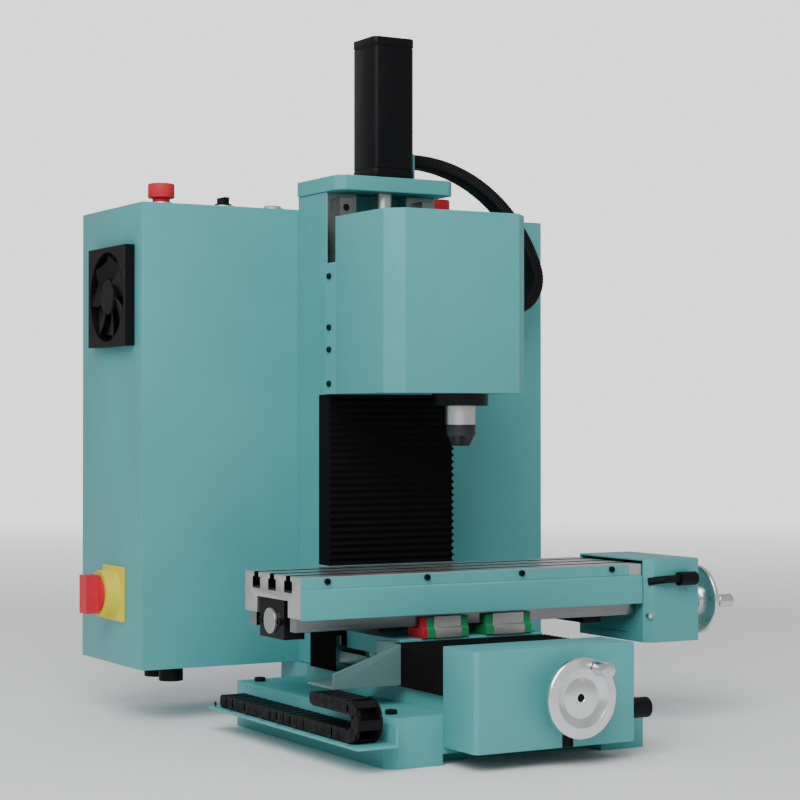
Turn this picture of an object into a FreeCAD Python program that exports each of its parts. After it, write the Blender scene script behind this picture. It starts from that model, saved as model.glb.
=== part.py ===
"""Small vertical milling machine with a control cabinet behind its column.

Frame: millimetres, +X to the operator's right, +Y to the back, +Z up.  The origin is on the
floor, under the axis of the vertical ball screw, on the machine's centre plane.

The driving sizes are the cells of the sheet "dims".  The sheet "places" works out from them
where things lie.  Every sub-part is bound to those two sheets by expressions.
"""
import FreeCAD, Part
import math
import os
import re

import Sketcher

DOC = FreeCAD.newDocument("milling_machine")
V = FreeCAD.Vector

# ---------------------------------------------------------------- driving sizes
DIMS = {
    # base casting
    "base_left": 178, "base_right": 143, "base_front": 332, "base_back": 34, "base_top": 53,
    "bed_left": 105, "bed_right": 79, "bed_rise": 18, "bed_back": 4,
    "trough_half": 34, "trough_floor": 48, "trough_back": 8,
    "base_wall": 38, "base_roof": 15, "corner_chamfer": 12,
    "base_bolt_radius": 4.5, "base_bolt_inset": 18,
    "foot_half": 78, "foot_back": 120, "foot_top": 65,
    # chip and cable tray
    "tray_width": 48, "tray_sheet": 3, "tray_level": 26, "tray_flange": 20, "tray_overhang": 22,
    "tray_back": 9.5,
    # column
    "column_half": 75, "column_front": 5, "column_back": 80, "column_top": 632,
    "column_wall": 12, "channel_half": 34, "channel_floor": 25,
    "plate_thick": 18, "plate_side": 1.5, "plate_right": 85, "plate_front": 28.5,
    "plate_chamfer": 10,
    # linear guides: 15 mm rail, block 34 wide, 28 mm stack height
    "rail_width": 15, "rail_height": 15, "stack_height": 28, "block_height": 24,
    "block_width": 34, "block_length": 60, "guide_clear": 0.3,
    # ball screws and their support blocks
    "screw_radius": 6, "z_screw_radius": 8, "support_width": 60, "support_height": 43,
    "support_centre": 25, "support_thick": 25, "bore_clear": 0.5, "coupling_radius": 10,
    "coupling_length": 25, "shaft_radius": 4, "nut_half": 26, "nut_length": 48,
    # motors
    "motor_square": 57, "motor_chamfer": 5, "drive_length": 52, "z_motor_length": 168,
    "motor_flange": 5, "motor_plate": 4, "plate_margin": 8, "plate_clear": 0.5,
    # front casing over the Y motor
    "casing_left": 113, "casing_right": 87, "casing_depth": 65, "casing_bottom": 19,
    "casing_top": 124, "casing_back_gap": 6, "casing_sheet": 2, "shaft_slot": 14,
    "casing_chamfer": 4,
    # Y axis
    "y_axis_z": 73, "y_rail_offset": 58, "y_rail_front": 324, "y_rail_back": 8,
    "y_support_front": 275, "y_support_back": 14,
    # saddle
    "saddle_left": 98, "saddle_right": 88, "saddle_front": 215, "saddle_back": 90,
    "saddle_thick": 20, "y_block_gap": 2,
    # table
    "table_half": 223, "table_front": 220, "table_back": 83, "table_plate": 27,
    "leg_height": 18, "leg_width": 30, "x_rail_half": 222, "x_rail_offset": 49.5,
    "slot_offset": 39.5, "slot_neck": 10, "slot_neck_deep": 6.5, "slot_wide": 18,
    "slot_deep": 9, "x_support_in": 25, "cover_sheet": 2, "cover_step": 2.5,
    "cover_strip": 13, "cover_fold": 1.5, "x_block_offset": 41.5, "x_support_gap": 6,
    "cap_radius": 13, "cap_thick": 3,
    # casing over the X motor
    "x_casing_length": 74, "x_casing_front": 231, "x_casing_back": 92, "x_casing_bottom": 100,
    "x_casing_top": 197, "x_casing_chamfer": 9,
    # handwheels
    "wheel_radius": 42, "wheel_depth": 15, "y_wheel_gap": 13, "x_wheel_gap": 46,
    "rim_width": 9, "hub_radius": 15, "hub_length": 14, "rim_depth": 6, "rim_edge": 2,
    "hub_flare": 4, "hub_dish": 4, "hub_recess": 5, "grip_radius": 8, "grip_length": 22,
    "grip_circle": 34.5, "grip_turn": 60,
    # bellows
    "bellows_wall": 5, "y_bellows_top": 116, "y_bellows_side": 44,
    "z_bellows_half": 85, "z_bellows_deep": 30, "apron_top": 188, "apron_sheet": 2, "apron_gap": 2,
    "fold_clear": 0.5,
    # head
    "head_half": 92, "head_bottom": 390, "carriage_height": 154, "carriage_thick": 27,
    "z_nut_rise": 50,
    "cover_front": 184, "cover_right": 95, "cover_top": 597, "cover_chamfer": 18,
    "z_block_low": 398, "z_block_pitch": 76, "z_rail_low": 92, "z_rail_high": 625,
    "z_support_drop": 45, "z_coupling_drop": 18,
    "z_screw_rise": 30, "z_rail_offset": 56,
    # spindle
    "spindle_x": 22, "spindle_y": 143, "spindle_box": 34, "spindle_box_top": 492,
    "flange_radius": 32.5, "flange_thick": 14, "nose_radius": 17.5,
    "nose_length": 22, "nut_radius": 18.5, "nut_thick": 12, "nut_taper": 12,
    "collet_radius": 3, "spindle_motor_radius": 33, "spindle_motor_top": 588,
    # flexible conduits
    "chain_wide": 30, "chain_thick": 15, "chain_bend": 22.5, "chain_front": 343,
    "chain_back": 240, "chain_inset": 6,
    "conduit_wide": 28, "conduit_thick": 16, "conduit_big": 193, "conduit_small": 38,
    "conduit_angle": 70, "conduit_start": 62, "conduit_level": 680, "conduit_y": 45,
    "anchor_thick": 10, "anchor_reach": 16, "arm_sheet": 3,
    # bracket that carries the lower conduit's moving end
    "bracket_reach": 99, "bracket_gap": 2, "bracket_front": 32, "bracket_lip": 17,
    "bracket_shelf_depth": 61, "bracket_foot": 18,
    # cabinet
    "cabinet_half": 280, "cabinet_depth": 192, "cabinet_top": 617, "cabinet_sheet": 2,
    "door_sheet": 2, "rack_sheet": 3, "rack_gap": 28, "rack_margin": 35,
    "fan_square": 120, "fan_hole": 54, "fan_thick": 12, "fan_y": 163, "fan_z": 508,
    "fan_hub": 19, "blade_thick": 2, "blade_count": 7, "blade_width": 13, "blade_tilt": 25,
    "switch_y": 164.5, "switch_z": 150.5, "switch_square": 66, "switch_plate": 3,
    "switch_collar": 28, "switch_collar_deep": 18, "knob_long": 46, "knob_wide": 22,
    "knob_deep": 20, "button_y": 120, "bezel_radius": 14.5, "bezel_height": 4,
    "stop_x": 239, "selector_x": 157.5, "start_x": 90.5, "spare_x": 146,
    "stop_radius": 16, "stop_height": 23.5, "stem_depth": 6, "stem_rise": 12,
    "head_gap": 5, "selector_rise": 8, "lever_half": 3.5, "lever_top": 14,
    "button_radius": 10.5, "button_height": 7, "gland_radius": 11, "gland_length": 17,
    "casing_gland_length": 24,
    "casing_gland_level": 52, "casing_gland_back": 14, "gland_bore_less": 4,
    "gland_inset": 50, "gland_step": 2, "gland_first": 30, "gland_second": 80,
    "cabinet_gland": 14.5, "bezel_bore": 11.2, "cable_radius": 4.5, "elbow_radius": 8,
    "elbow_back": 35, "elbow_length": 24, "elbow_bore_back": 22, "elbow_drop": 23,
    "elbow_bore": 4, "elbow_stub_radius": 3.9,
    # fasteners
    "screw_head": 3.5, "screw_head_high": 3,
}

# ---------------------------------------------------------------- places, from the sizes
PLACES = {
    "bed_top": "base_top + bed_rise",
    "saddle_bottom": "bed_top + stack_height",
    "saddle_top": "saddle_bottom + saddle_thick",
    "saddle_middle": "-(saddle_front + saddle_back) / 2",
    "leg_bottom": "saddle_top + stack_height",
    "plate_bottom": "leg_bottom + leg_height",
    "table_top": "plate_bottom + table_plate",
    "table_middle": "-(table_front + table_back) / 2",
    "x_axis_z": "plate_bottom - support_centre",
    "z_mount_y": "column_front - stack_height",
    "carriage_front": "z_mount_y - carriage_thick",
    "carriage_top": "head_bottom + carriage_height",
    "plate_top": "column_top + plate_thick",
    "cabinet_back": "column_back + cabinet_depth",
    "casing_front": "-(base_front + casing_depth)",
    "x_casing_right": "table_half + x_casing_length",
    "spindle_flange": "head_bottom - flange_thick",
    "nose_bottom": "spindle_flange - nose_length",
    "nut_bottom": "nose_bottom - nut_thick",
    "tray_top": "tray_level + tray_sheet",
    "chain_x": "-(base_left + tray_width - chain_inset - chain_wide / 2)",
    "conduit_turn_x": "conduit_start + conduit_big * sin(conduit_angle * 1deg)",
    "conduit_turn_z": "conduit_level - conduit_big * (1 - cos(conduit_angle * 1deg))",
    "conduit_low_x": "conduit_turn_x - conduit_small * sin(conduit_angle * 1deg)",
    "conduit_low_z": "conduit_turn_z - conduit_small * cos(conduit_angle * 1deg)",
    "conduit_end_z": "conduit_low_z - conduit_small",
    "bellows_bottom": "y_bellows_top - y_bellows_side",
}

WORD = re.compile(r"[a-z_][a-z_0-9]*")


def linked(text):
    """Give each size and place in an expression the name of the sheet that holds it."""
    def full(match):
        word = match.group(0)
        if word in DIMS:
            return "dims." + word
        if word in PLACES:
            return "places." + word
        return word
    return WORD.sub(full, str(text))


def make_sheet(name, cells):
    """Write one spreadsheet: names in column A, values with aliases in column B."""
    sheet = DOC.addObject("Spreadsheet::Sheet", name)
    for row, (alias, value) in enumerate(cells.items(), start=1):
        sheet.set(f"A{row}", alias)
        text = str(value) if isinstance(value, (int, float)) else "=" + linked(value)
        sheet.set(f"B{row}", text)
        sheet.setAlias(f"B{row}", alias)
    DOC.recompute()
    return sheet


SHEET = make_sheet("dims", DIMS)
make_sheet("places", PLACES)

# Rotations that turn a primitive's own Z axis onto X or Y.
TURN = {
    "X": FreeCAD.Rotation(V(0, 1, 0), 90),
    "Y": FreeCAD.Rotation(V(1, 0, 0), -90),
    "Z": FreeCAD.Rotation(),
    "-Y": FreeCAD.Rotation(V(1, 0, 0), 90),
}
NODES = []


# ---------------------------------------------------------------- building blocks
def bind(obj, **sizes):
    """Bind properties of an object to expressions."""
    for prop, text in sizes.items():
        obj.setExpression(prop, linked(text))
    return obj


def place(obj, x="0", y="0", z="0"):
    """Bind the position of an object to expressions."""
    for axis, text in (("x", x), ("y", y), ("z", z)):
        obj.setExpression("Placement.Base." + axis, linked(text))
    return obj


def box(name, x, y, z):
    """A box from three pairs of expressions, its low and high side on each axis."""
    obj = DOC.addObject("Part::Box", name)
    bind(obj, Length=f"({x[1]}) - ({x[0]})", Width=f"({y[1]}) - ({y[0]})",
         Height=f"({z[1]}) - ({z[0]})")
    return place(obj, x[0], y[0], z[0])


def rod(name, axis, start, radius, length, angle=None):
    """A cylinder along an axis, from the centre of its first face."""
    obj = DOC.addObject("Part::Cylinder", name)
    obj.Placement.Rotation = TURN[axis]
    bind(obj, Radius=radius, Height=length)
    if angle is not None:
        bind(obj, Angle=angle)
    return place(obj, *start)


def cone(name, axis, start, first, last, length):
    """A cone along an axis, from the centre of its first face."""
    obj = DOC.addObject("Part::Cone", name)
    obj.Placement.Rotation = TURN[axis]
    bind(obj, Radius1=first, Radius2=last, Height=length)
    return place(obj, *start)


def fuse(name, parts):
    """Join solids that touch or overlap into one."""
    obj = DOC.addObject("Part::MultiFuse", name)
    obj.Shapes = list(parts)
    return obj


def group(name, parts):
    """Keep identical separate pieces together in one sub-part."""
    obj = DOC.addObject("Part::Compound", name)
    obj.Links = list(parts)
    return obj


def cut(name, base, tools):
    """Take one or more tools away from a base."""
    tools = list(tools)
    tool = tools[0] if len(tools) == 1 else group(name + "_tools", tools)
    obj = DOC.addObject("Part::Cut", name)
    obj.Base = base
    obj.Tool = tool
    return obj


def outline(body, plane, points):
    """Sketch a closed outline on a body's own plane, each corner bound on both axes."""
    origin = next(f for f in body.Origin.OriginFeatures if f.Role == plane + "_Plane")
    sketch = body.newObject("Sketcher::SketchObject", body.Name + "_outline")
    sketch.AttachmentSupport = (origin, [""])
    sketch.MapMode = "FlatFace"
    count = len(points)
    for index in range(count):
        start = V(10.0 * index, 7.0 * index * index, 0)
        end = V(10.0 * (index + 1), 7.0 * (index + 1) ** 2, 0)
        sketch.addGeometry(Part.LineSegment(start, end), False)
    for index in range(count):
        following = (index + 1) % count
        sketch.addConstraint(Sketcher.Constraint("Coincident", index, 2, following, 1))
    for index, (across, up) in enumerate(points):
        for kind, text in (("DistanceX", across), ("DistanceY", up)):
            number = sketch.addConstraint(Sketcher.Constraint(kind, -1, 1, index, 1, 5.0))
            sketch.setExpression(f"Constraints[{number}]", linked(text))
    return sketch


def extruded(name, plane, points, low, high):
    """A PartDesign body padded from an outline, between two places on the plane's normal."""
    body = DOC.addObject("PartDesign::Body", name)
    sketch = outline(body, plane, points)
    pad = body.newObject("PartDesign::Pad", name + "_pad")
    pad.Profile = sketch
    bind(pad, Length=f"({high}) - ({low})")
    pad.Reversed = plane == "XZ"
    sketch.Visibility = False
    shift = {"XY": ("0", "0", low), "XZ": ("0", low, "0"), "YZ": (low, "0", "0")}[plane]
    return place(body, *shift)


def turned(name, axis, start, points):
    """A PartDesign body revolved from an outline of (radius, distance) corners."""
    body = DOC.addObject("PartDesign::Body", name)
    sketch = outline(body, "XZ", points)
    lathe = body.newObject("PartDesign::Revolution", name + "_turning")
    lathe.Profile = sketch
    lathe.ReferenceAxis = (sketch, ["V_Axis"])
    lathe.Angle = 360
    body.Placement.Rotation = TURN[axis]
    return place(body, *start)


def node(obj, label):
    """Name a finished sub-part."""
    obj.Label = label
    NODES.append(obj)
    return obj


def chamfered_box(name, x, y, z, size, corners):
    """An upright box with some of its four vertical edges chamfered.

    corners names the edges as two signs: "--" is left front, "+-" right front.
    """
    low_x, high_x = x
    low_y, high_y = y
    points = []
    for sign, (px, py) in (("--", (low_x, low_y)), ("+-", (high_x, low_y)),
                           ("++", (high_x, high_y)), ("-+", (low_x, high_y))):
        if sign not in corners:
            points.append((px, py))
            continue
        inward_x = f"{px} + {size}" if sign[0] == "-" else f"{px} - {size}"
        inward_y = f"{py} + {size}" if sign[1] == "-" else f"{py} - {size}"
        pair = [(px, inward_y), (inward_x, py)]
        points += pair if sign in ("--", "++") else pair[::-1]
    return extruded(name, "XY", points, z[0], z[1])


# ---------------------------------------------------------------- linear guides and screws
def rail(name, axis, middle, low, high, mount, up):
    """A guide rail along an axis; up is the sign of the way it stands off its mount."""
    across = (f"{middle} - rail_width / 2", f"{middle} + rail_width / 2")
    stand = (mount, f"{mount} + rail_height") if up > 0 else (f"{mount} - rail_height", mount)
    if axis == "X":
        return box(name, (low, high), across, stand)
    if axis == "Y":
        return box(name, across, (low, high), stand)
    return box(name, across, stand, (low, high))


def rail_block(name, axis, middle, centre, mount, up):
    """A carriage block with its rail groove.  mount is the rail's mounting face."""
    low = f"{centre} - block_length / 2"
    high = f"{centre} + block_length / 2"
    half = "block_width / 2"
    gap = "(rail_width / 2 + guide_clear)"
    sign = "+" if up > 0 else "-"
    near = f"{mount} {sign} (stack_height - block_height)"
    far = f"{mount} {sign} stack_height"
    groove = f"{mount} {sign} (rail_height + guide_clear)"
    profile = [(f"{middle} - {half}", near), (f"{middle} - {gap}", near),
               (f"{middle} - {gap}", groove), (f"{middle} + {gap}", groove),
               (f"{middle} + {gap}", near), (f"{middle} + {half}", near),
               (f"{middle} + {half}", far), (f"{middle} - {half}", far)]
    if axis == "X":
        return extruded(name, "YZ", profile, low, high)
    if axis == "Y":
        return extruded(name, "XZ", profile, low, high)
    return extruded(name, "XY", profile, low, high)


def support(name, axis, centre, low, down):
    """A ball-screw support block with its bore; down points to its mounting face."""
    across, height = centre
    wide = (f"{across} - support_width / 2", f"{across} + support_width / 2")
    if down > 0:
        tall = (f"{height} - (support_height - support_centre)", f"{height} + support_centre")
    else:
        tall = (f"{height} - support_centre", f"{height} + (support_height - support_centre)")
    span = (low, f"{low} + support_thick")
    bore = "screw_radius + bore_clear"
    if axis == "X":
        body = box(name + "_body", span, wide, tall)
        start = (f"{low} - 1", across, height)
    elif axis == "Y":
        body = box(name + "_body", wide, span, tall)
        start = (across, f"{low} - 1", height)
    else:
        body = box(name + "_body", wide, tall, span)
        start = (across, height, f"{low} - 1")
        bore = "z_screw_radius + bore_clear"
    hole = rod(name + "_bore", axis, start, bore, "support_thick + 2")
    return cut(name, body, [hole])


def eight_corners(across, up, half, edge):
    """A square with chamfered corners about a centre."""
    return [(f"{across} - {half}", f"{up} - {half} + {edge}"),
            (f"{across} - {half} + {edge}", f"{up} - {half}"),
            (f"{across} + {half} - {edge}", f"{up} - {half}"),
            (f"{across} + {half}", f"{up} - {half} + {edge}"),
            (f"{across} + {half}", f"{up} + {half} - {edge}"),
            (f"{across} + {half} - {edge}", f"{up} + {half}"),
            (f"{across} - {half} + {edge}", f"{up} + {half}"),
            (f"{across} - {half}", f"{up} + {half} - {edge}")]


def motor(name, axis, centre, face, length, sign):
    """A square stepper motor.  face is its flange face, sign the way the case runs from it."""
    across, up = centre
    plane = {"X": "YZ", "Y": "XZ", "Z": "XY"}[axis]
    step = f"{face} + motor_flange" if sign > 0 else f"{face} - motor_flange"
    far = f"{face} + {length}" if sign > 0 else f"{face} - {length}"
    flange_span = (face, step) if sign > 0 else (step, face)
    case_span = (step, far) if sign > 0 else (far, step)
    flange = extruded(name + "_flange", plane,
                      eight_corners(across, up, "motor_square / 2", "1"), *flange_span)
    case = extruded(name + "_case", plane,
                    eight_corners(across, up, "(motor_square / 2 - 0.5)", "motor_chamfer"),
                    *case_span)
    low = f"{flange_span[0]} - 1" if sign > 0 else f"{case_span[0]} - 1"
    start = {"X": (low, across, up), "Y": (across, low, up), "Z": (across, up, low)}[axis]
    bore = rod(name + "_bore", axis, start, "shaft_radius + bore_clear", f"{length} + 2")
    return cut(name, fuse(name + "_solid", [flange, case]), [bore])


def screw_head(name, axis, start):
    """A cylinder-head screw, of which the head shows."""
    return rod(name, axis, start, "screw_head", "screw_head_high")


# ---------------------------------------------------------------- base
def make_base():
    """Casting with the raised bed for the Y guides and the foot of the column."""
    front = "-base_front"
    main = chamfered_box("base_body", ("-base_left", "base_right"), (front, "base_back"),
                         ("0", "base_top"), "corner_chamfer", {"--"})
    bed = box("bed", ("-bed_left", "bed_right"), (front, "-bed_back"), ("base_top - 1", "bed_top"))
    foot = box("foot", ("-foot_half", "foot_half"), ("-bed_back", "foot_back"), ("0", "foot_top"))
    trough = box("trough", ("-trough_half", "trough_half"), (f"{front} - 1", "-trough_back"),
                 ("trough_floor", "bed_top + 1"))
    hollow = box("underside", ("-base_left + base_wall", "base_right - base_wall"),
                 (f"{front} + base_wall", "base_back - base_wall"),
                 ("-1", "base_top - base_roof"))
    relief = box("toe_relief", ("-casing_left", "casing_right"),
                 (f"{front} - 1", f"{front} + base_wall - 10"), ("-1", "casing_bottom - 7"))
    holes = []
    for number, (x, y) in enumerate((
            ("-base_left + base_bolt_inset", f"{front} + base_bolt_inset"),
            ("base_right - base_bolt_inset", f"{front} + base_bolt_inset"),
            ("-base_left + base_bolt_inset", "base_back - base_bolt_inset"),
            ("base_right - base_bolt_inset", "base_back - base_bolt_inset"))):
        holes.append(rod(f"base_hole_{number}", "Z", (x, y, "-1"), "base_bolt_radius",
                         "base_top + 2"))
    solid = fuse("base_solid", [main, bed, foot])
    node(cut("base", solid, [trough, hollow, relief] + holes), "base_casting")


def make_tray():
    """Angle of sheet steel beside the base that carries the cables of the Y axis."""
    left = "-base_left - tray_width"
    profile = [(left, "tray_level"), ("-base_left", "tray_level"),
               ("-base_left", "tray_top + tray_flange"),
               ("-base_left - tray_sheet", "tray_top + tray_flange"),
               ("-base_left - tray_sheet", "tray_top"), (left, "tray_top")]
    tray = extruded("tray", "XZ", profile, "-base_front - tray_overhang", "tray_back")
    node(tray, "cable_tray")


# ---------------------------------------------------------------- column
def make_column():
    """Hollow column with a channel down its front for the Z screw."""
    profile = [("-column_half", "column_front"), ("-channel_half", "column_front"),
               ("-channel_half", "channel_floor"), ("channel_half", "channel_floor"),
               ("channel_half", "column_front"), ("column_half", "column_front"),
               ("column_half", "column_back"), ("-column_half", "column_back")]
    shaft = extruded("column_shaft", "XY", profile, "foot_top", "column_top")
    hollow = box("column_hollow", ("-column_half + column_wall", "column_half - column_wall"),
                 ("channel_floor + column_wall", "column_back - column_wall"),
                 ("foot_top + column_wall", "column_top + 1"))
    node(cut("column_part", shaft, [hollow]), "column")

    plate = chamfered_box("plate_body", ("-column_half - plate_side", "plate_right"),
                          ("-plate_front", "column_back"), ("column_top", "plate_top"),
                          "plate_chamfer", {"--", "+-"})
    bore = rod("plate_bore", "Z", ("0", "0", "column_top - 1"), "coupling_radius + 2",
               "plate_thick + 2")
    anchor = box("conduit_anchor", ("conduit_start - anchor_thick", "conduit_start"),
                 ("conduit_y - conduit_wide / 2", "conduit_y + conduit_wide / 2"),
                 ("plate_top - 1", "conduit_level + conduit_thick / 2"))
    node(cut("top_plate_part", fuse("plate_solid", [plate, anchor]), [bore]), "top_plate")
    node(motor("z_drive", "Z", ("0", "0"), "plate_top", "z_motor_length", 1), "z_motor")

    profile = [("-z_bellows_half", "column_front - fold_clear"),
               ("-z_bellows_half", "column_front - z_bellows_deep - 2"),
               ("z_bellows_half", "column_front - z_bellows_deep - 2"),
               ("z_bellows_half", "column_front - fold_clear"),
               ("z_bellows_half - apron_sheet", "column_front - fold_clear"),
               ("z_bellows_half - apron_sheet", "column_front - z_bellows_deep"),
               ("-z_bellows_half + apron_sheet", "column_front - z_bellows_deep"),
               ("-z_bellows_half + apron_sheet", "column_front - fold_clear")]
    apron = extruded("apron", "XY", profile, "y_bellows_top + apron_gap", "apron_top")
    web = [box(f"apron_web_{side}", (low, high),
               ("column_front - fold_clear - 3", "column_front"),
               ("y_bellows_top + apron_gap", "apron_top"))
           for side, low, high in (("left", "-z_bellows_half", "-column_half"),
                                   ("right", "column_half", "z_bellows_half"))]
    node(fuse("apron_part", [apron] + web), "column_apron")


def make_guides():
    """Guide rails and ball-screw supports that are bolted to the base and the column."""
    y_rails = [rail(f"y_rail_{side}", "Y", middle, "-y_rail_front", "-y_rail_back", "bed_top", 1)
               for side, middle in (("left", "-y_rail_offset"), ("right", "y_rail_offset"))]
    z_rails = []
    for side, middle in (("left", "-z_rail_offset"), ("right", "z_rail_offset")):
        z_rails.append(rail(f"z_rail_{side}", "Z", middle, "z_rail_low", "z_rail_high",
                            "column_front", -1))
    node(group("rail_set", y_rails + z_rails), "frame_rails")

    y_supports = [support(f"y_support_{end}", "Y", ("0", "y_axis_z"), low, -1)
                  for end, low in (("front", "-y_support_front - support_thick"),
                                   ("back", "-y_support_back - support_thick"))]
    z_supports = [support(f"z_support_{end}", "Z", ("0", "0"), low, 1)
                  for end, low in (("low", "z_rail_low"), ("top", "z_rail_high - z_support_drop"))]
    node(group("support_set", y_supports + z_supports), "frame_bearing_blocks")


# ---------------------------------------------------------------- Y drive under the front casing
def make_y_drive():
    """Motor, its plate and the folded casing over both."""
    plate = box("y_plate_body", ("-support_width / 2", "support_width / 2"),
                ("-base_front - motor_plate", "-base_front"),
                ("y_axis_z - support_width / 2", "y_axis_z + support_width / 2"))
    bore = rod("y_plate_bore", "Y", ("0", "-base_front - motor_plate - 1", "y_axis_z"),
               "coupling_radius + 2", "motor_plate + 2")
    node(cut("y_plate", plate, [bore]), "y_motor_plate")
    node(motor("y_drive", "Y", ("0", "y_axis_z"), "-base_front - motor_plate", "drive_length",
               -1), "y_motor")

    shell = chamfered_box("casing_outer", ("-casing_left", "casing_right"),
                          ("casing_front", "-base_front"), ("casing_bottom", "casing_top"),
                          "casing_chamfer", {"--", "+-"})
    inside = chamfered_box("casing_inner", ("-casing_left + casing_sheet",
                                            "casing_right - casing_sheet"),
                           ("casing_front + casing_sheet", "-base_front + 1"),
                           ("casing_bottom - 1", "casing_top - casing_sheet"),
                           "casing_chamfer", {"--", "+-"})
    back = box("casing_back", ("-casing_left", "casing_right"),
               ("-base_front - casing_sheet", "-base_front"),
               ("y_bellows_top + casing_back_gap", "casing_top"))
    slot = box("casing_slot", ("-shaft_slot / 2", "shaft_slot / 2"),
               ("casing_front - 1", "casing_front + casing_sheet + 1"),
               ("casing_bottom - 1", "y_axis_z"))
    top = rod("casing_slot_top", "Y", ("0", "casing_front - 1", "y_axis_z"), "shaft_slot / 2",
              "casing_sheet + 2")
    hole = rod("casing_gland_hole", "X", ("casing_right - casing_sheet - 1",
                                          "casing_front + casing_gland_back",
                                          "casing_gland_level"),
               "gland_radius - gland_bore_less", "casing_sheet + 2")
    hollow = cut("casing_shell", shell, [inside])
    node(cut("casing_part", fuse("casing_solid", [hollow, back]), [slot, top, hole]),
         "front_casing")


# ---------------------------------------------------------------- saddle
def make_saddle():
    """Saddle between the Y and X guides, with its blocks and both nut housings."""
    span_y = ("-saddle_front", "-saddle_back")
    body = box("saddle_body", ("-saddle_left", "saddle_right"), span_y,
               ("saddle_bottom", "saddle_top"))
    nut = box("y_nut_body", ("-nut_half", "nut_half"),
              ("saddle_middle - nut_length / 2", "saddle_middle + nut_length / 2"),
              ("y_axis_z - 18", "saddle_bottom + 1"))
    bore = rod("y_nut_bore", "Y", ("0", "saddle_middle - nut_length / 2 - 1", "y_axis_z"),
               "screw_radius + bore_clear", "nut_length + 2")
    x_nut = box("x_nut_body", ("-nut_length / 2", "nut_length / 2"),
                ("table_middle - nut_half", "table_middle + nut_half"),
                ("saddle_top - 1", "plate_bottom - 4"))
    x_bore = rod("x_nut_bore", "X", ("-nut_length / 2 - 1", "table_middle", "x_axis_z"),
                 "screw_radius + bore_clear", "nut_length + 2")
    node(cut("saddle_part", fuse("saddle_solid", [body, nut, x_nut]), [bore, x_bore]), "saddle")

    y_blocks = []
    for end, centre in (("front", "-saddle_front + block_length / 2 + y_block_gap"),
                        ("back", "-saddle_back - block_length / 2 - y_block_gap")):
        for side, middle in (("left", "-y_rail_offset"), ("right", "y_rail_offset")):
            y_blocks.append(rail_block(f"y_block_{end}_{side}", "Y", middle, centre,
                                       "bed_top", 1))
    node(group("y_block_set", y_blocks), "y_rail_blocks")

    x_blocks = []
    for end, centre in (("left", "-x_block_offset"), ("right", "x_block_offset")):
        for side, middle in (("front", "table_middle - x_rail_offset"),
                             ("back", "table_middle + x_rail_offset")):
            x_blocks.append(rail_block(f"x_block_{end}_{side}", "X", middle, centre,
                                       "leg_bottom", -1))
    node(group("x_block_set", x_blocks), "x_rail_blocks")

    make_chain_bracket()


def make_chain_bracket():
    """Bent sheet from the saddle's left side, out past the bellows and over the chain's end."""
    low = "tray_top + 2 * chain_bend"
    top = "saddle_top - 1"
    tip, inner = "-saddle_left - bracket_reach", "-casing_left - bracket_gap"
    front = "-saddle_front - bracket_front"
    profile = [(tip, low), (inner, low), (inner, top), (tip, f"{low} + bracket_lip")]
    web = extruded("bracket_web", "XZ", profile, front, f"{front} + arm_sheet")
    shelf = box("bracket_shelf", (tip, inner), (front, f"{front} + bracket_shelf_depth"),
                (low, f"{low} + arm_sheet"))
    side = box("bracket_side", (f"{inner} - arm_sheet", inner),
               (front, "-saddle_front + bracket_foot"), (low, top))
    foot = box("bracket_foot_plate", (f"{inner} - arm_sheet", "-saddle_left"),
               ("-saddle_front + arm_sheet", "-saddle_front + bracket_foot"),
               ("saddle_bottom", top))
    node(fuse("bracket_part", [web, shelf, side, foot]), "chain_bracket")


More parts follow.
